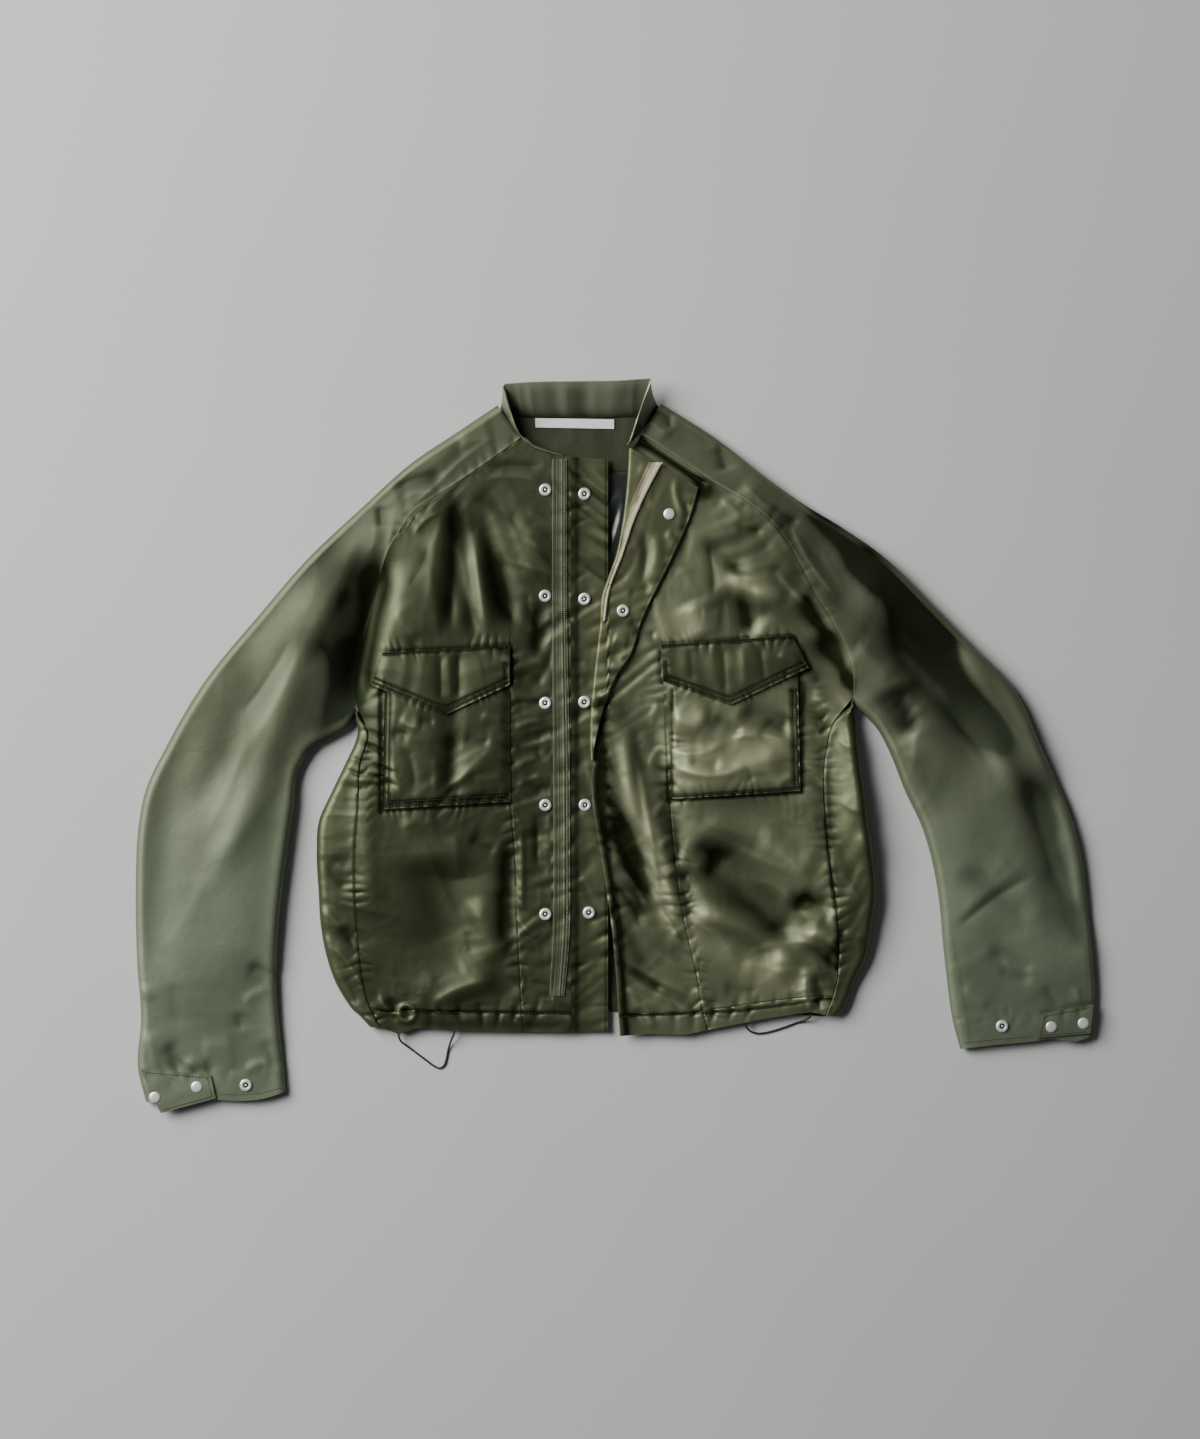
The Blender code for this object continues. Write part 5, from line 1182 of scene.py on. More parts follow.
# %%
POCKET_GRID, FLAP_GRID, TAB_GRID = (72, 64), (36, 72), (10, 26)  # rows, columns
POCKET_LIFT, FLAP_LIFT, TAB_LIFT = (1.25, 1.5), (3.2, 2.8), (2.3, 0.5)  # sewn, and added inside
POCKET_PRESS, FLAP_PRESS = (0.8, 1.5), (0.8, 1.4)  # depth and width of the lines pressed in
POCKET_RISE = (0.10, 0.08)  # share of its height and of its width over which a pocket rises
FLAP_THICK = 1.3
STRIP_COLUMNS = 16
STRIP_SHADE_LINES = (6, 2.5)  # how far its two lines of painted shade lie from its edges
STRIP_SHADE = (0.5, 0.8)  # painted shade and width of the lines
STRIP_NECK = 2.5  # how much lower the strip's upper end lies at its far edge
FLY_ROWS, FLY_COLUMNS, FLY_LIFT = 110, 30, 1.5
FLY_WAVE = (0.9, 9, 13)  # height, reach and pitch of the ladder at the free edge


# start x, start y, end x, end y, bow, half width, height on the turned-back edge only
FLY_CREASES = (
    (655, 530, 652, 585, 3, 6, 1.4), (644, 530, 640, 590, 3, 5, -1.4),
    (676, 478, 688, 520, -5, 3, 1.3), (668, 530, 678, 545, -3, 4, 1.2),
    (684, 500, 680, 535, 4, 3, -1.2), (636, 470, 652, 478, 3, 6, 1.0),
    (628, 596, 652, 590, 3, 4, -1.3), (628, 622, 640, 636, 3, 4, -1.6),
    (612, 640, 628, 645, 3, 5, 1.2), (606, 668, 622, 662, 3, 4, -1.0),
    (600, 700, 612, 690, 2, 4, 1.0), (634, 500, 650, 508, 3, 5, -1.0),
)


def build_pocket(side):
    """A patch pocket: lift = low at the sewn edges, full inside."""
    rows, columns = POCKET_GRID
    s = np.linspace(0, 1, rows + 1)[:, None]
    t = np.linspace(0, 1, columns + 1)[None]
    below, beside_it = POCKET_RISE
    inside = step_up(s / below) * step_up(t / beside_it) * step_up((1 - t) / beside_it)
    lift = POCKET_LIFT[0] + POCKET_LIFT[1] * inside
    points = raised(four_sided(POCKETS[side], rows, columns), lift)
    # painted shade along the stitch lines pressed in
    painted_shade = pressed(points, rows_of(f"pocket_{side}"), *POCKET_PRESS)
    wall(f"pocket_{side}", points, upward(points), painted_shade=painted_shade)


def build_flap(side):
    """A pointed flap, sewn along its upper edge and free below."""
    rows, columns = FLAP_GRID
    a, b, c, tip, d = np.array(FLAPS[side], float)
    share = np.linspace(0, 1, columns + 1)
    upper, lower = straight((a, b), share), straight((d, tip, c), share)
    s = np.linspace(0, 1, rows + 1)[:, None, None]
    lift = FLAP_LIFT[0] + FLAP_LIFT[1] * step_up(s[..., 0] / 0.5)
    points = raised((1 - s) * upper + s * lower, lift)
    # painted shade along the stitch lines pressed in
    painted_shade = pressed(points, rows_of(f"flap_{side}"), *FLAP_PRESS)
    wall(f"flap_{side}", points, upward(points), painted_shade=painted_shade, thick=FLAP_THICK)


def strip_height(x, y, start=STRIP_START):
    """Middle of the placket strip."""
    return top(x, y) - STRIP_DROP * step_up((x - start) / STRIP_STEP)


def build_strip():
    """The placket strip beside the right front, lower than the front's edge."""
    rows = fronts["right"][:, -1]
    left = rows[:, :1] + SEAM
    share = np.linspace(0, 1, STRIP_COLUMNS + 1)
    x = left * (1 - share) + STRIP_EDGE * share
    y = np.repeat(rows[:, 1:2], len(share), axis=1)
    y[-1] += STRIP_NECK * share
    z = strip_height(x, y, left)
    z[:, 0] = rows[:, 2]
    points = lifted(x, y, z)
    normal = upward(points)
    normal[:, 0] = UP
    # two lines of painted shade along the strip
    away = np.minimum(np.abs(x - left - STRIP_SHADE_LINES[0]), np.abs(x - STRIP_EDGE + STRIP_SHADE_LINES[1]))
    painted_shade = STRIP_SHADE[0] * bell(away, STRIP_SHADE[1]) * (x > left + STRIP_SHADE_LINES[0] / 2)
    wall("placket_strip", points, normal, painted_shade=painted_shade)


def build_fly():
    """The front edge turned back: half a roll at the fold, then flat on the left front."""
    share = np.linspace(0, 1, FLY_ROWS + 1)
    level = FOLD_LINE[0][1] + (FLY_END - FOLD_LINE[0][1]) * share
    fold = np.column_stack([across_at(FOLD_LINE, level), level])
    free = outline(FREE_EDGE, share)
    turn = -TURN[:, None]
    roll_x = fold[:, 0] + FOLD * (1 - np.cos(turn))
    base = top(fold[:, 0] + FOLD, fold[:, 1])
    roll = lifted(roll_x, fold[None, :, 1], base + FOLD * (1 + np.sin(turn)))
    across = np.linspace(0, 1, FLY_COLUMNS + 1)[1:, None, None]
    plan = roll[-1, :, :2] * (1 - across) + free * across
    away = across[..., 0]
    flat = raised(plan, 2 * FOLD + FLY_LIFT * away * step_up(share))
    x, y = plan[..., 0], plan[..., 1]
    fine = step_up(away / 0.2)
    flat[..., 2] += fine * ridges(x, y, FLY_CREASES)
    height, reach, pitch = FLY_WAVE
    edge = np.abs(1 - away) * np.linalg.norm(free - fold, axis=1)
    wave = 0.5 + 0.5 * np.cos(2 * np.pi * (y + 5 * noise(y, 0 * y, 30, 3)) / pitch)
    flat[..., 2] += fine * height * bell(edge, reach) * (0.4 - wave ** 3)
    points = np.concatenate([roll, flat]).transpose(1, 0, 2)
    normal = normals(points)
    normal = normal * np.sign(normal[FLY_ROWS // 2, -2, 2])
    normal[:, 0] = DOWN
    wall("turned_fly", points, normal)


def build_tab(side):
    """A cuff tab over the sleeve's end."""
    points = raised(four_sided(TABS[side], *TAB_GRID), TAB_LIFT[0])
    s = np.linspace(0, 1, TAB_GRID[0] + 1)[:, None]
    points[..., 2] += TAB_LIFT[1] * np.sin(np.pi * s) ** 2
    wall(f"tab_{side}", points, upward(points))


for side in ("right", "left"):
    build_pocket(side)
    build_flap(side)
    build_tab(side)
build_strip()
build_fly()
print("pocket, flap and strip", measured("pocket_right", "flap_right", "placket_strip"), "m2")

# %% [markdown]
# ## Collar, facing, lining and the bare label

# %%
COLLAR_GRID, FACING_GRID, LINING_GRID, LABEL_GRID = (18, 170), (18, 40), (60, 24), (6, 30)
COLLAR_THICK, THIN = 1.2, 0.6
INSIDE = FLOOR + 2.3  # the pieces inside the neck lie on the back's own cloth
# height of the wrinkles; the second value paints shade in their troughs and light on their crests
WRINKLE, WRINKLE_SHADE = 1.7, -0.35
COLLAR_WRINKLES = ((23, 31, 1.5), (10, 33, 0.8))  # size, seed, height


def build_collar():
    """The stand collar: straight from its neck seam to its edge, with small upright wrinkles."""
    rows, columns = COLLAR_GRID
    key = np.linspace(0, 1, len(COLLAR))
    lines = spline(np.column_stack([key, COLLAR]), np.linspace(0, 1, columns + 1))
    up = np.linspace(0, 1, rows + 1)[:, None]
    points = (1 - up[..., None]) * lines[:, :3] + up[..., None] * lines[:, 3:]
    run = run_of(lines[:, :3])
    wrinkle = sum(height * (ridged(run, 0 * run, size, seed) - 0.5)
                  for size, seed, height in COLLAR_WRINKLES)
    strength = np.sin(np.pi * up) ** 0.7 * (0.4 + 0.8 * noise(0 * run, run, 40, 34))
    points = points + normals(points) * (WRINKLE * strength * wrinkle)[..., None]
    # painted shade in the wrinkles' troughs, painted light on their crests
    painted_shade = WRINKLE_SHADE * strength * wrinkle
    wall("collar", points, normals(points), thick=COLLAR_THICK, painted_shade=painted_shade)


def build_inside(name, corners, grid, height, thick, level=False):
    """A flat piece behind the opening; height gives how far it stands above the level inside."""
    plan = four_sided(corners, *grid)
    x, y = plan[..., 0], plan[..., 1]
    points = lifted(x, y, INSIDE + height(x, y))
    wall(name, points, np.broadcast_to(UP, points.shape) if level else upward(points), thick=thick)


build_collar()
build_inside("back_facing", FACING, FACING_GRID,
             lambda x, y: 0.5 * ridged(x, y, 30, 41) ** 2, SHELL, level=True)
build_inside("lining", LINING, LINING_GRID,
             lambda x, y: 3.2 * ridged(x + 0.35 * y, 0.35 * y, 15, 43) ** 1.5, THIN)
build_inside("label", LABEL, LABEL_GRID, lambda x, y: 2.0 + 0.25 * np.sin(x / 9.0), THIN)
print("collar and facing", measured("collar", "back_facing"), "m2")

# %% [markdown]
# ## Zip tapes and teeth
#
# Across a tape run long ribs: its height is a row of rounded ridges. The teeth sit near one edge.

# %%
TAPE_COLUMNS, TAPE_THICK = 24, 0.7
RIBS, RIB_HEIGHT, EDGE_RIB = 6, 0.12, 0.5
TOOTH, TOOTH_PITCH, TOOTH_LIFT = (2.6, 1.1, 0.9), 1.9, 0.6
FRONT_TAPE, FLY_TAPE = 1.5, 1.8  # how far a tape's middle stands above the cloth under it
WAYS = np.eye(3)  # the sheet's own ways: to the right, down and up
BLOCK = np.array([
    (0, 1, 2, 3), (7, 6, 5, 4), (0, 4, 5, 1), (1, 5, 6, 2), (2, 6, 7, 3), (3, 7, 4, 0),
])


def boxes(name, centres, along, across, up, size):
    """Many small bevelled bars in one mesh; along, across and up are unit vectors for each."""
    length, width, height = size
    u = np.array([-1, -1, 1, 1, -0.8, -0.8, 0.8, 0.8]) * length / 2
    v = np.array([-1, 1, 1, -1, -0.6, 0.6, 0.6, -0.6]) * width / 2
    w = np.array([0, 0, 0, 0, 1, 1, 1, 1]) * height
    corners = (centres[:, None] + u[:, None] * along[:, None] + v[:, None] * across[:, None]
               + w[:, None] * up[:, None])
    faces = (BLOCK[None] + 8 * np.arange(len(centres))[:, None, None]).reshape(-1, 4)
    return mesh_object(name, placed(corners.reshape(-1, 3)), faces)


def slope_up(x, y, reach):
    """Unit vectors square to the upper cloth, its slope taken over a reach on each side."""
    dx = (top(x + reach, y) - top(x - reach, y)) / (2 * reach)
    dy = (top(x, y + reach) - top(x, y - reach)) / (2 * reach)
    return unit(lifted(-dx, -dy, 1.0))


def build_zip(name, table, lift, tooth_share, rows, rib_light_and_shade):
    """One half of a zip: ribbed tape with a row of teeth, with painted highlights on some ribs and
    painted shade on others.
    """
    level = np.linspace(table[0][0], table[-1][0], rows + 1)
    edges = spline(table, level)
    share = np.linspace(0, 1, TAPE_COLUMNS + 1)
    x = edges[:, :1] * (1 - share) + edges[:, 1:] * share
    y = np.repeat(level[:, None], len(share), axis=1)
    rib = RIB_HEIGHT * np.cos(2 * np.pi * share * RIBS) + EDGE_RIB * bell(share - 0.06, 0.05)
    rib = rib + EDGE_RIB * bell(share - tooth_share + 0.16, 0.06)
    points = lifted(x, y, lift(x, y) + rib)
    # painted highlight where the amount is positive, painted shade where it is negative
    tone = sum(amount * bell(share - place, 0.055) for place, amount in rib_light_and_shade)
    wall(name, points, upward(points), thick=TAPE_THICK, painted_shade=-tone * np.ones_like(x))
    tooth_y = np.linspace(level[0] + 2, level[-1] - 2, int((level[-1] - level[0]) / TOOTH_PITCH))
    ends = spline(table, tooth_y)
    tooth_x = ends[:, 0] + tooth_share * (ends[:, 1] - ends[:, 0])
    centres = lifted(tooth_x, tooth_y, lift(tooth_x, tooth_y) + TOOTH_LIFT)
    along, across, up = (np.broadcast_to(way, centres.shape) for way in WAYS)
    boxes(f"{name}_teeth", centres, along, across, up, TOOTH)


def on_front(x, y):
    """Middle of a tape on the right front."""
    return top(x, y) + FRONT_TAPE


def on_fly(x, y):
    """Middle of a tape on the turned-back edge."""
    fold_x, free_x = across_at(FOLD_LINE, y), across_at(FREE_EDGE, y)
    away = np.clip((x - fold_x) / np.maximum(free_x - fold_x, 1), 0, 1)
    share = (y - FOLD_LINE[0][1]) / (FLY_END - FOLD_LINE[0][1])
    lift = 2 * FOLD + FLY_LIFT * away * step_up(share)
    return top(x, y) + lift + ridges(x, y, FLY_CREASES) + FLY_TAPE


# place across the tape and amount of painted highlight (positive) or painted shade (negative) on
# its ribs
build_zip("zip_right", RIGHT_ZIP, on_front, 0.84, 210,
          ((0.05, 0.6), (0.2, -0.25), (0.4, -0.15), (0.58, 0.3), (0.74, -0.6), (0.94, 0.8)))
build_zip("zip_left", LEFT_ZIP, on_fly, 0.86, 70, (
    (0.05, -0.7), (0.17, -0.5), (0.3, -0.3), (0.6, 0.4), (0.74, 0.5), (0.88, 0.5), (0.98, 0.3)))
print("teeth", *(len(made[f"zip_{side}_teeth"].data.polygons) // 6 for side in ("right", "left")))

# %% [markdown]
# ## Snaps
#
# A profile turned round its axis. A ring has a rolled rim, a hollow and a post; a cap is a dome.

# %%
# radius, height in millimetres
RING = (
    (0.0, 1.5), (0.8, 1.45), (1.1, 1.1), (1.15, 0.45), (1.3, 0.3), (2.4, 0.3), (2.6, 0.6),
    (2.7, 1.3), (3.2, 1.7), (4.2, 1.75), (5.2, 1.6), (5.9, 1.2), (6.2, 0.7), (6.15, 0.0),
)
CAP = (
    (0.0, 1.35), (1.2, 1.33), (2.6, 1.27), (4.0, 1.12), (5.0, 0.85), (5.5, 0.5), (5.65, 0.15),
    (5.5, 0.0),
)
TURNS = 40
SHADED_WELL_RINGS = slice(1 + 2 * TURNS, 1 + 6 * TURNS)  # the rings of points in the hollow, which get painted shade
SNAP_REACH = 6.0  # the cloth's slope under a snap is taken over this reach
SNAP_SEATS = {  # height of each carrier's skin
    "front": lambda x, y: top(x, y) + 0.75,
    "tab": lambda x, y: top(x, y) + 3.1,
    "strip": lambda x, y: strip_height(x, y) + 0.75,
    "fly": lambda x, y: on_fly(x, y) - 0.9,
}


def build_snap(name, x, y, carrier, kind):
    """A turned solid on the cloth; the cloth's slope at its place tilts it."""
    profile = np.array(RING if kind == "ring" else CAP)
    x, y = np.array([x], float), np.array([y], float)
    place = lifted(x, y, SNAP_SEATS.get(carrier, top)(x, y))[0]
    up = slope_up(x, y, SNAP_REACH)[0]
    across = unit(np.cross(up, (1.0, 0, 0)))
    along = np.cross(across, up)
    angle = np.arange(TURNS) * 2 * np.pi / TURNS
    spoke = np.cos(angle)[:, None] * along + np.sin(angle)[:, None] * across
    rings = place + profile[1:, 1, None, None] * up + profile[1:, 0, None, None] * spoke
    tip = (place + profile[0, 1] * up)[None]
    vertices = placed(np.concatenate([tip, rings.reshape(-1, 3), place[None]]))
    index = 1 + np.arange(rings.shape[0] * TURNS).reshape(-1, TURNS)
    a, b = index, np.roll(index, -1, axis=1)
    first, final = np.zeros_like(a[0]), np.full_like(a[0], len(vertices) - 1)
    skin = [np.stack(corners, axis=-1).reshape(-1, 3) for corners in (
        (a[:-1], a[1:], b[1:]), (a[:-1], b[1:], b[:-1]))]
    ends = np.column_stack([first, a[0], b[0]]), np.column_stack([a[-1], final, b[-1]])
    triangles = np.concatenate([*skin, *ends])
    middle = vertices[triangles].mean(axis=1)
    piece = mesh_object(f"snap_{name}_turned", vertices,
                        facing_out(triangles, vertices, middle - vertices[-1]))
    # painted shade in a ring's hollow
    well_shade = np.zeros(len(vertices))
    well_shade[SHADED_WELL_RINGS] = kind == "ring"
    keep_values(piece, "well_shade", well_shade)
    piece.data.set_sharp_from_angle(angle=SHARP)
    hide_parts(f"snap_{name}")
    return piece


snaps = [build_snap(*row) for row in SNAPS]
print("snaps", len(snaps))

# %% [markdown]
# ## Stitches
#
# Each row of thread is a line of short bars set on the cloth at an even pitch.

# %%
STITCH_SLOPE = 0.5  # the cloth's slope under a stitch is taken over this reach
STRIP_SKIN, FLY_SKIN = 0.5, -1.3  # from the strip's middle, and from the tape's


def on_strip(x, y):
    """How far the placket strip's skin stands above the upper cloth."""
    return strip_height(x, y) + STRIP_SKIN - top(x, y)


def on_fly_skin(x, y):
    """How far the turned-back edge's skin stands above the upper cloth."""
    return on_fly(x, y) + FLY_SKIN - top(x, y)


# name, plan line, what it lies on; these rows press no line into the cloth
HIGH_THREADS = (
    ("strip_top", ((574, 461.5), (605.5, 463.5)), on_strip),
    ("strip_edge", ((605.3, 464), (605.3, 905)), on_strip),
    ("fly_top", ((632, 454), (655, 464), (694, 490.5)), on_fly_skin),
    ("fly_edge", ((692.5, 494), (686.8, 514), (668.8, 555), (638, 619), (622.5, 661)), on_fly_skin),
)


def stitches(name, line, lift):
    """Bars of thread along a plan line, on the upper cloth's slope."""
    points = np.array(line, float)
    length = run_of(points)[-1]
    at = (np.arange(int(length / PITCH)) + 0.5) * PITCH / length
    x, y = straight(points, at).T
    way = straight(points, np.minimum(at + 0.002, 1)) - straight(points, np.maximum(at - 0.002, 0))
    up = slope_up(x, y, STITCH_SLOPE)
    way = lifted(*unit(way).T, 0.0)
    way = unit(way - np.sum(way * up, axis=-1, keepdims=True) * up)
    centres = lifted(x, y, top(x, y) + (lift(x, y) if callable(lift) else lift))
    return boxes(f"thread_{name}", centres, way, np.cross(up, way), up, STITCH)


threads = [stitches(*row) for row in THREADS + HIGH_THREADS]
print("stitches", sum(len(piece.data.polygons) // 6 for piece in threads))

# %% [markdown]
# ## Drawcord loops

# %%
CORD_RINGS, CORD_SIDES, CORD_RADIUS = 64, 12, 1.0


def build_cord(name, route):
    """A round cord: rings of the cord's radius square to a smooth line, closed at both ends.

    ring(a) = centre + radius * (side * cos a + up * sin a), side level and up square to it.
    """
    line = placed(outline(route, np.linspace(0, 1, CORD_RINGS)))
    way = unit(np.gradient(line, axis=0))
    side = unit(np.cross(way, UP))
    up = np.cross(side, way)
    angle = np.linspace(0, 2 * np.pi, CORD_SIDES + 1)[:-1, None]
    spoke = side[:, None] * np.cos(angle) + up[:, None] * np.sin(angle)
    rings = line[:, None] + CORD_RADIUS * spoke
    index = np.arange(CORD_RINGS * CORD_SIDES).reshape(-1, CORD_SIDES)
    k = np.arange(CORD_SIDES // 2 - 1)
    cap = np.column_stack((k, k + 1, CORD_SIDES - 2 - k, CORD_SIDES - 1 - k))
    skin = quads(np.concatenate([index, index[:, :1]], axis=1))
    faces = np.concatenate([skin, index[0][cap], index[-1][cap[:, ::-1]]])
    piece = mesh_object(f"{name}_loop", rings.reshape(-1, 3), faces)
    piece.data.set_sharp_from_angle(angle=SHARP)
    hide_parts(name)
    return piece


cords = [build_cord("drawcord_right", RIGHT_CORD), build_cord("drawcord_left", LEFT_CORD)]

# %% [markdown]
# ## Materials
#
# The cloth is a satin weave: a dark olive body under a broad tinted gloss. `fold` runs from the
# colour of the troughs to that of the ridges, a strong change: painted shade in the troughs and a
# painted highlight on the ridges, and the gloss is dimmed in the troughs too. It also carries the
# painted shade of the pressed lines and of the table of painted shade and light, so part of the
# tone is set by the place on the cloth. A paler colour lightens the sleeves lower down the frame,
# towards their cuffs, also by `fold`. Some pieces take lit or shaded copies of the satin: painted
# light on the wearer's left front and its pocket, on the sleeves and on the collar, and painted
# shade on the back facing. All patterns use Object coordinates, which are metres here.

# %%
LOW_COLOUR_FROM, LOW_COLOUR_TO = 0.12, -0.22  # metres up the frame, from none of the paler colour to all of it
CLOUDS, GRAIN, WEAVE, RUMPLE = 9.0, 900.0, 260.0, 55.0  # scale of each pattern of the satin
WEAVE_BUMP, RUMPLE_BUMP = (0.0001, 0.35), (0.0012, 0.25)  # metres, strength
ROWS_BUMP, SCRATCH_BUMP = (0.0002, 0.4), (0.00005, 0.2)
GLOSS_TINT = (0.96, 1.0, 0.80, 1.0)


def shader_of(name):
    """A new material with its node tree, its Principled shader and an Object coordinate socket."""
    material = bpy.data.materials.new(name)
    material.use_nodes = True
    tree = material.node_tree
    shader = tree.nodes["Principled BSDF"]
    coordinates = tree.nodes.new("ShaderNodeTexCoord").outputs["Object"]
    return material, tree, shader, coordinates


def attribute(tree, name):
    """A value that the mesh keeps for each vertex."""
    node = tree.nodes.new("ShaderNodeAttribute")
    node.attribute_name = name
    return node.outputs["Fac"]


def pattern(tree, kind, coordinates, scale, **settings):
    """A texture node's value, at a scale in waves or cells for each metre."""
    node = tree.nodes.new(kind)
    tree.links.new(coordinates, node.inputs["Vector"])
    node.inputs["Scale"].default_value = scale
    for key, value in settings.items():
        if key in node.inputs:
            node.inputs[key].default_value = value
        else:
            setattr(node, key, value)
    return node.outputs["Fac"]


def mixed(tree, factor, low, high, blend="MIX"):
    """A colour mix; low and high are colours or sockets."""
    node = tree.nodes.new("ShaderNodeMix")
    node.data_type = "RGBA"
    node.blend_type = blend
    for socket, value in ((0, factor), (6, low), (7, high)):
        if isinstance(value, bpy.types.NodeSocket):
            tree.links.new(value, node.inputs[socket])
        else:
            node.inputs[socket].default_value = (*value, 1.0) if socket else value
    return node.outputs[2]


def ranged(tree, value, source, target=(0.0, 1.0), kind="LINEAR"):
    """A value moved from one range to another."""
    node = tree.nodes.new("ShaderNodeMapRange")
    node.interpolation_type = kind
    for socket, number in zip(("From Min", "From Max", "To Min", "To Max"), (*source, *target)):
        node.inputs[socket].default_value = number
    tree.links.new(value, node.inputs["Value"])
    return node.outputs["Result"]


def bumped(tree, height, distance, strength, normal=None):
    """A bump node's normal."""
    node = tree.nodes.new("ShaderNodeBump")
    node.inputs["Distance"].default_value = distance
    node.inputs["Strength"].default_value = strength
    tree.links.new(height, node.inputs["Height"])
    if normal is not None:
        tree.links.new(normal, node.inputs["Normal"])
    return node.outputs["Normal"]


def finished(material, tree, shader, base, normal, roughness, metallic):
    """The material with its colour and normal linked and its constants set."""
    tree.links.new(base, shader.inputs["Base Color"])
    tree.links.new(normal, shader.inputs["Normal"])
    shader.inputs["Roughness"].default_value = roughness
    shader.inputs["Metallic"].default_value = metallic
    return material


def satin(name, trough, ridge, roughness=0.47, metallic=0.55, gloss=0.8, low_colour=None):
    """Olive satin weave: colour by fold as painted shade and highlight, slow cloudiness, fine
    diagonal weave, faint creases.
    """
    material, tree, shader, where = shader_of(name)
    fold = attribute(tree, "fold")
    clouds = pattern(tree, "ShaderNodeTexNoise", where, CLOUDS, Detail=3.0)
    grain = pattern(tree, "ShaderNodeTexNoise", where, GRAIN, Detail=2.0)
    base = mixed(tree, fold, trough, ridge)
    base = mixed(tree, 1.0, base, mixed(tree, clouds, (0.8,) * 3, (1.2,) * 3), "MULTIPLY")
    # the sleeves turn paler lower down the frame, towards the cuffs, also by fold
    if low_colour is not None:
        place = tree.nodes.new("ShaderNodeSeparateXYZ")
        tree.links.new(where, place.inputs[0])
        share = ranged(tree, place.outputs["Y"], (LOW_COLOUR_FROM, LOW_COLOUR_TO), kind="SMOOTHSTEP")
        pale = mixed(tree, fold, tuple(0.65 * c for c in low_colour), tuple(1.35 * c for c in low_colour))
        base = mixed(tree, share, base, pale)
    base = mixed(tree, 1.0, base, mixed(tree, grain, (0.9,) * 3, (1.1,) * 3), "MULTIPLY")
    # painted shade: the gloss is dimmed in the troughs too
    trough_dimmed_gloss = ranged(tree, fold, (0.0, 0.5), (0.15, gloss))
    tree.links.new(trough_dimmed_gloss, shader.inputs["Specular IOR Level"])
    shader.inputs["Specular Tint"].default_value = GLOSS_TINT
    weave = pattern(tree, "ShaderNodeTexWave", where, WEAVE,
                    bands_direction="DIAGONAL", Distortion=0.6)
    rumple = pattern(tree, "ShaderNodeTexNoise", where, RUMPLE, Detail=2.0, Distortion=0.8)
    normal = bumped(tree, rumple, *RUMPLE_BUMP, bumped(tree, weave, *WEAVE_BUMP))
    return finished(material, tree, shader, base, normal, roughness, metallic)


def woven(name, low, high, roughness, scale):
    """A plain woven or braided surface in two close tones."""
    material, tree, shader, where = shader_of(name)
    rows = pattern(tree, "ShaderNodeTexWave", where, scale, bands_direction="Y", Distortion=0.4)
    grain = pattern(tree, "ShaderNodeTexNoise", where, 1.7 * scale, Detail=2.0)
    base = mixed(tree, grain, mixed(tree, rows, low, high), low)
    normal = bumped(tree, rows, *ROWS_BUMP)
    return finished(material, tree, shader, base, normal, roughness, 0.0)


def plated(name):
    """Bright nickel plate with faint scratches and slightly uneven gloss, with painted shade in its
    hollow.
    """
    material, tree, shader, where = shader_of(name)
    cloudy = pattern(tree, "ShaderNodeTexNoise", where, 700.0, Detail=3.0)
    base = mixed(tree, cloudy, (0.88, 0.88, 0.85), (1.0, 1.0, 0.98))
    # painted shade in the hollow
    base = mixed(tree, attribute(tree, "well_shade"), base, (0.03, 0.03, 0.02))
    normal = bumped(tree, cloudy, *SCRATCH_BUMP)
    return finished(material, tree, shader, base, normal, 0.34, 0.55)


def dress(pieces, material):
    """Give pieces a material."""
    for piece in pieces:
        piece.data.materials.append(material)


body_cloth = satin("body_satin", (0.009, 0.013, 0.004), (0.080, 0.089, 0.044))
# a lit copy of the body's satin: painted light on the wearer's left front and its pocket
lit_left_cloth = satin("left_satin_painted_light", (0.011, 0.016, 0.005), (0.212, 0.228, 0.132))
# painted light: the sleeves' satin is paler than the body's; its greater roughness is its own
lit_sleeve_cloth = satin("sleeve_satin_painted_light", (0.006, 0.009, 0.003), (0.118, 0.134, 0.076), roughness=0.56,
                     metallic=0.4, low_colour=(0.122, 0.148, 0.096))
edge_cloth = satin("edge_satin", (0.010, 0.014, 0.004), (0.135, 0.147, 0.075), roughness=0.45)
# painted light: the collar's satin is much paler than the body's
lit_collar_cloth = satin("collar_satin_painted_light", (0.046, 0.058, 0.032), (0.330, 0.370, 0.250), 0.55,
                     metallic=0.5)
# painted shade: a darker copy of the satin for the back facing, which lies under the collar
shaded_inner_cloth = satin("inner_satin_painted_shade", (0.014, 0.019, 0.008), (0.056, 0.066, 0.036), roughness=0.5)
night_cloth = satin("night_lining", (0.005, 0.006, 0.008), (0.035, 0.041, 0.044), roughness=0.28,
                    metallic=0.2)
olive_tape = satin("olive_tape", (0.024, 0.027, 0.014), (0.112, 0.120, 0.074), 0.55, metallic=0.2,
                   gloss=0.5)
cream_tape = satin("cream_tape", (0.12, 0.11, 0.055), (0.72, 0.67, 0.45), 0.6, metallic=0.0,
                   gloss=0.4)
olive_teeth = woven("olive_teeth", (0.15, 0.155, 0.09), (0.24, 0.24, 0.155), 0.35, 500.0)
cream_teeth = woven("cream_teeth", (0.68, 0.64, 0.52), (0.85, 0.81, 0.70), 0.35, 500.0)
label_cloth = woven("label_weave", (0.80, 0.80, 0.76), (0.92, 0.92, 0.89), 0.7, 1400.0)
thread = woven("thread", (0.035, 0.038, 0.016), (0.07, 0.075, 0.036), 0.5, 1800.0)
pale_thread = woven("pale_thread", (0.050, 0.044, 0.022), (0.10, 0.09, 0.05), 0.5, 1800.0)
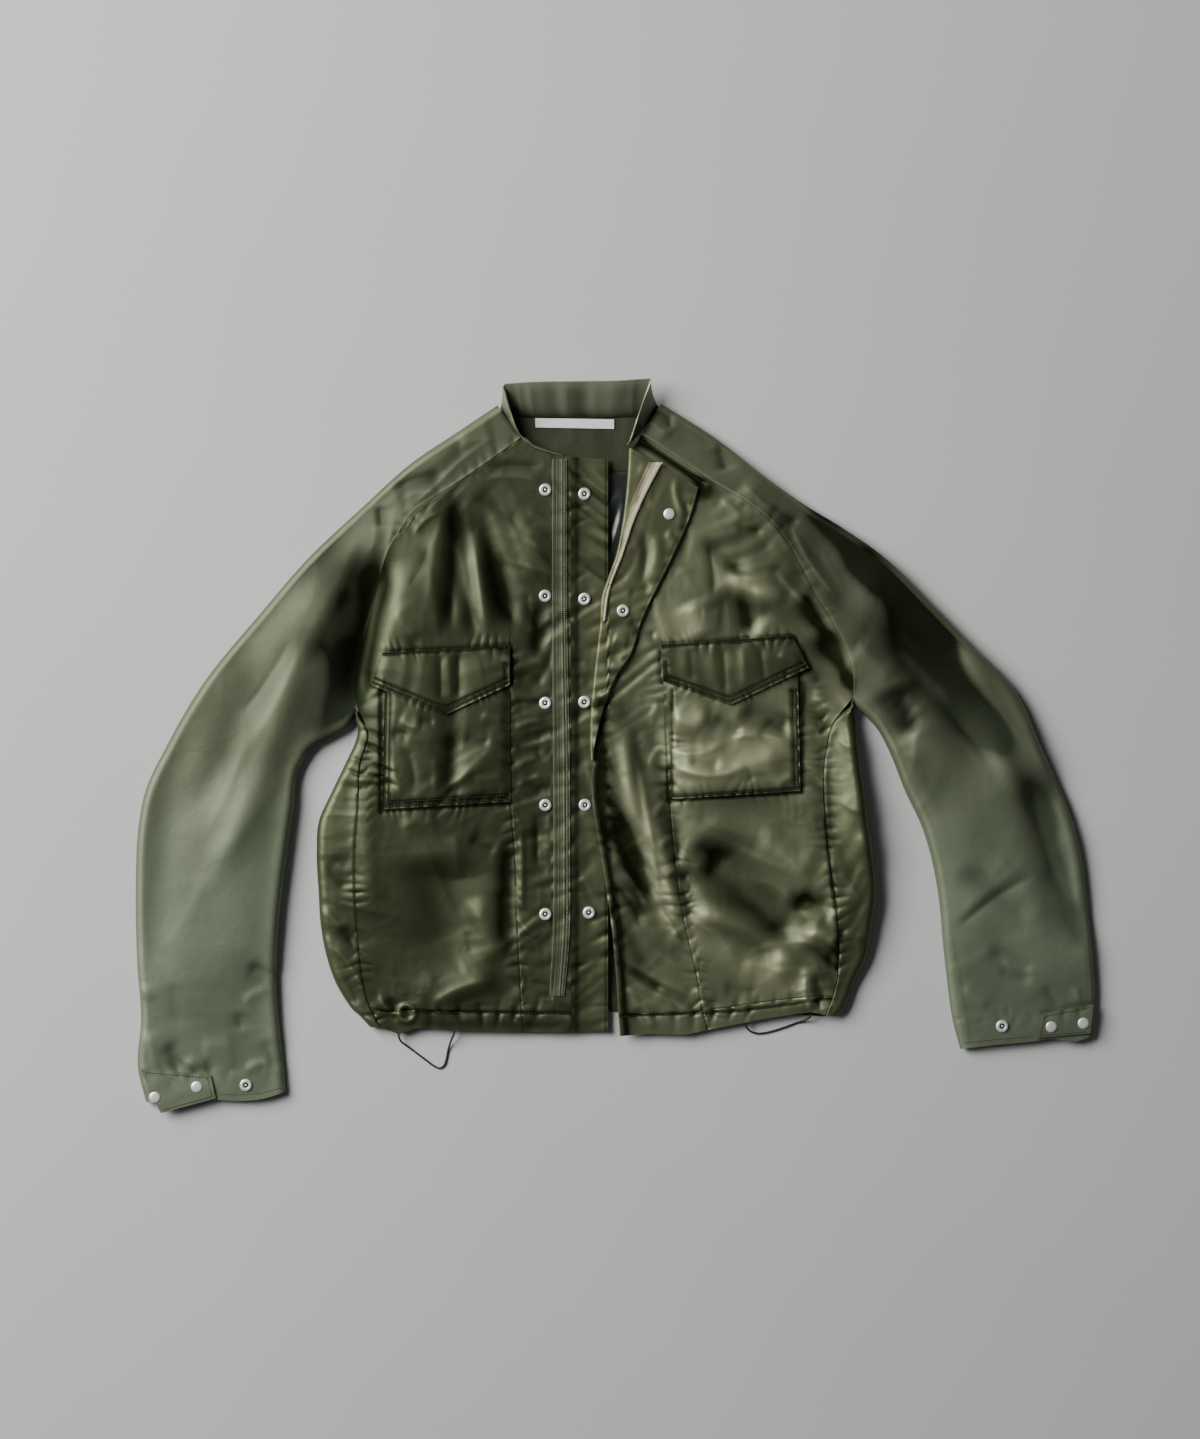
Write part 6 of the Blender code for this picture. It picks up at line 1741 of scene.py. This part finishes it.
black_cord = woven("black_cord", (0.006, 0.006, 0.007), (0.03, 0.03, 0.032), 0.5, 1200.0)
nickel = plated("nickel")

# material, the part's material slot, pieces
FINISH = (
    (body_cloth, "shell_cloth", ("back", "front_right", "pocket_right", "flap_right", "flap_left")),
    (lit_left_cloth, "shell_cloth", ("front_left", "pocket_left")),
    (lit_sleeve_cloth, "shell_cloth", ("sleeve_right", "sleeve_left", "tab_right", "tab_left")),
    (edge_cloth, "shell_cloth", ("placket_strip", "turned_fly")),
    (lit_collar_cloth, "shell_cloth", ("collar",)),
    (shaded_inner_cloth, "shell_cloth", ("back_facing",)),
    (night_cloth, "lining_cloth", ("lining",)),
    (olive_tape, "olive_tape", ("zip_right",)),
    (cream_tape, "cream_tape", ("zip_left",)),
    (olive_teeth, "olive_tape", ("zip_right_teeth",)),
    (cream_teeth, "cream_tape", ("zip_left_teeth",)),
    (label_cloth, "label_cloth", ("label",)),
)
for material, slot, names in FINISH:
    dress([made[name] for name in names], material)
dress(snaps, nickel)
for piece in threads:
    pale = "flap" in piece.name or "pocket" in piece.name
    dress([piece], pale_thread if pale else thread)
dress(cords, black_cord)
print("materials", len(bpy.data.materials))

# %% [markdown]
# ## The cut of each piece
#
# Width and length of the rectangle that a piece is cut from, and its flat area, in metres.

# %%
CUTS = {
    "sleeve_right": (0.38, 0.80, 0.185), "sleeve_left": (0.38, 0.80, 0.175),
    "back": (0.72, 0.62, 0.305), "front_right": (0.23, 0.61, 0.112),
    "front_left": (0.27, 0.61, 0.125), "pocket_right": (0.13, 0.15, 0.018),
    "pocket_left": (0.135, 0.145, 0.018), "flap_right": (0.142, 0.072, 0.0068),
    "flap_left": (0.148, 0.072, 0.0068), "placket_strip": (0.04, 0.58, 0.0215),
    "turned_fly": (0.11, 0.33, 0.016), "collar": (0.40, 0.035, 0.0085),
    "back_facing": (0.13, 0.06, 0.0074), "lining": (0.060, 0.145, 0.0075),
    "label": (0.079, 0.0105, 0.0008), "tab_right": (0.078, 0.042, 0.0021),
    "tab_left": (0.060, 0.032, 0.0014), "zip_right": (0.018, 0.54, 0.0097),
    "zip_left": (0.0105, 0.175, 0.00165),
}
for name, (width, length, flat_area) in CUTS.items():
    print(f"{name:14s} cut {flat_area:.4f} m2, measured {area(made[name]):.4f} m2, "
          f"share {area(made[name]) / flat_area:.2f}")

# %% [markdown]
# ## Floor, light and camera

# %%
FLOOR_REACH = 3.0
CAMERA_HEIGHT = 4.0
FRAME_LEVEL = 0.010  # the height at which the sheet fills the frame
SENSOR = 36.0


def build_floor():
    """A plain pale floor with a faint tone of its own."""
    corners = np.array([(-1, -1, 0), (1, -1, 0), (1, 1, 0), (-1, 1, 0)]) * FLOOR_REACH
    mesh = bpy.data.meshes.new("floor")
    mesh.from_pydata(corners.tolist(), [], [(0, 1, 2, 3)])
    floor = bpy.data.objects.new("floor", mesh)
    bpy.context.scene.collection.objects.link(floor)
    material, tree, shader, where = shader_of("pale_floor")
    cloud = pattern(tree, "ShaderNodeTexNoise", where, 3.0, Detail=2.0)
    tree.links.new(mixed(tree, cloud, (0.56,) * 3, (0.60,) * 3), shader.inputs["Base Color"])
    shader.inputs["Roughness"].default_value = 0.9
    mesh.materials.append(material)


def area_light(name, place, size, power, colour):
    """A soft rectangular light that faces the jacket's middle."""
    lamp = bpy.data.lights.new(name, "AREA")
    lamp.shape = "RECTANGLE"
    lamp.size, lamp.size_y = size
    lamp.energy = power
    lamp.color = colour
    item = bpy.data.objects.new(name, lamp)
    bpy.context.scene.collection.objects.link(item)
    item.location = place
    way = unit(-np.array(place))
    item.rotation_euler = (np.arccos(-way[2]), 0, np.arctan2(way[1], way[0]) - np.pi / 2)


build_floor()
area_light("window", (-2.55, 1.35, 2.4), (2.5, 2.4), 250, (1.0, 1.0, 0.98))
area_light("ceiling", (0.6, -0.6, 3.4), (3.0, 3.0), 3, (0.95, 0.98, 1.0))
world = bpy.data.worlds.new("room")
world.use_nodes = True
world.node_tree.nodes["Background"].inputs["Color"].default_value = (0.78, 0.82, 0.85, 1.0)
world.node_tree.nodes["Background"].inputs["Strength"].default_value = 0.04
bpy.context.scene.world = world

camera = bpy.data.objects.new("camera", bpy.data.cameras.new("camera"))
bpy.context.scene.collection.objects.link(camera)
camera.data.sensor_fit = "VERTICAL"
camera.data.sensor_height = SENSOR
camera.data.lens = SENSOR * (CAMERA_HEIGHT - FRAME_LEVEL) / (SHEET[1] * MM)
camera.location = ((SHEET[0] / 2 - ORIGIN[0]) * MM, (ORIGIN[1] - SHEET[1] / 2) * MM, CAMERA_HEIGHT)
bpy.context.scene.camera = camera
print("lens", round(camera.data.lens, 2))

# %%
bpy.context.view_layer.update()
counts = [sum(len(p.vertices) - 2 for p in piece.data.polygons) for piece in made.values()]
print("triangles", sum(counts), "largest", max(counts))
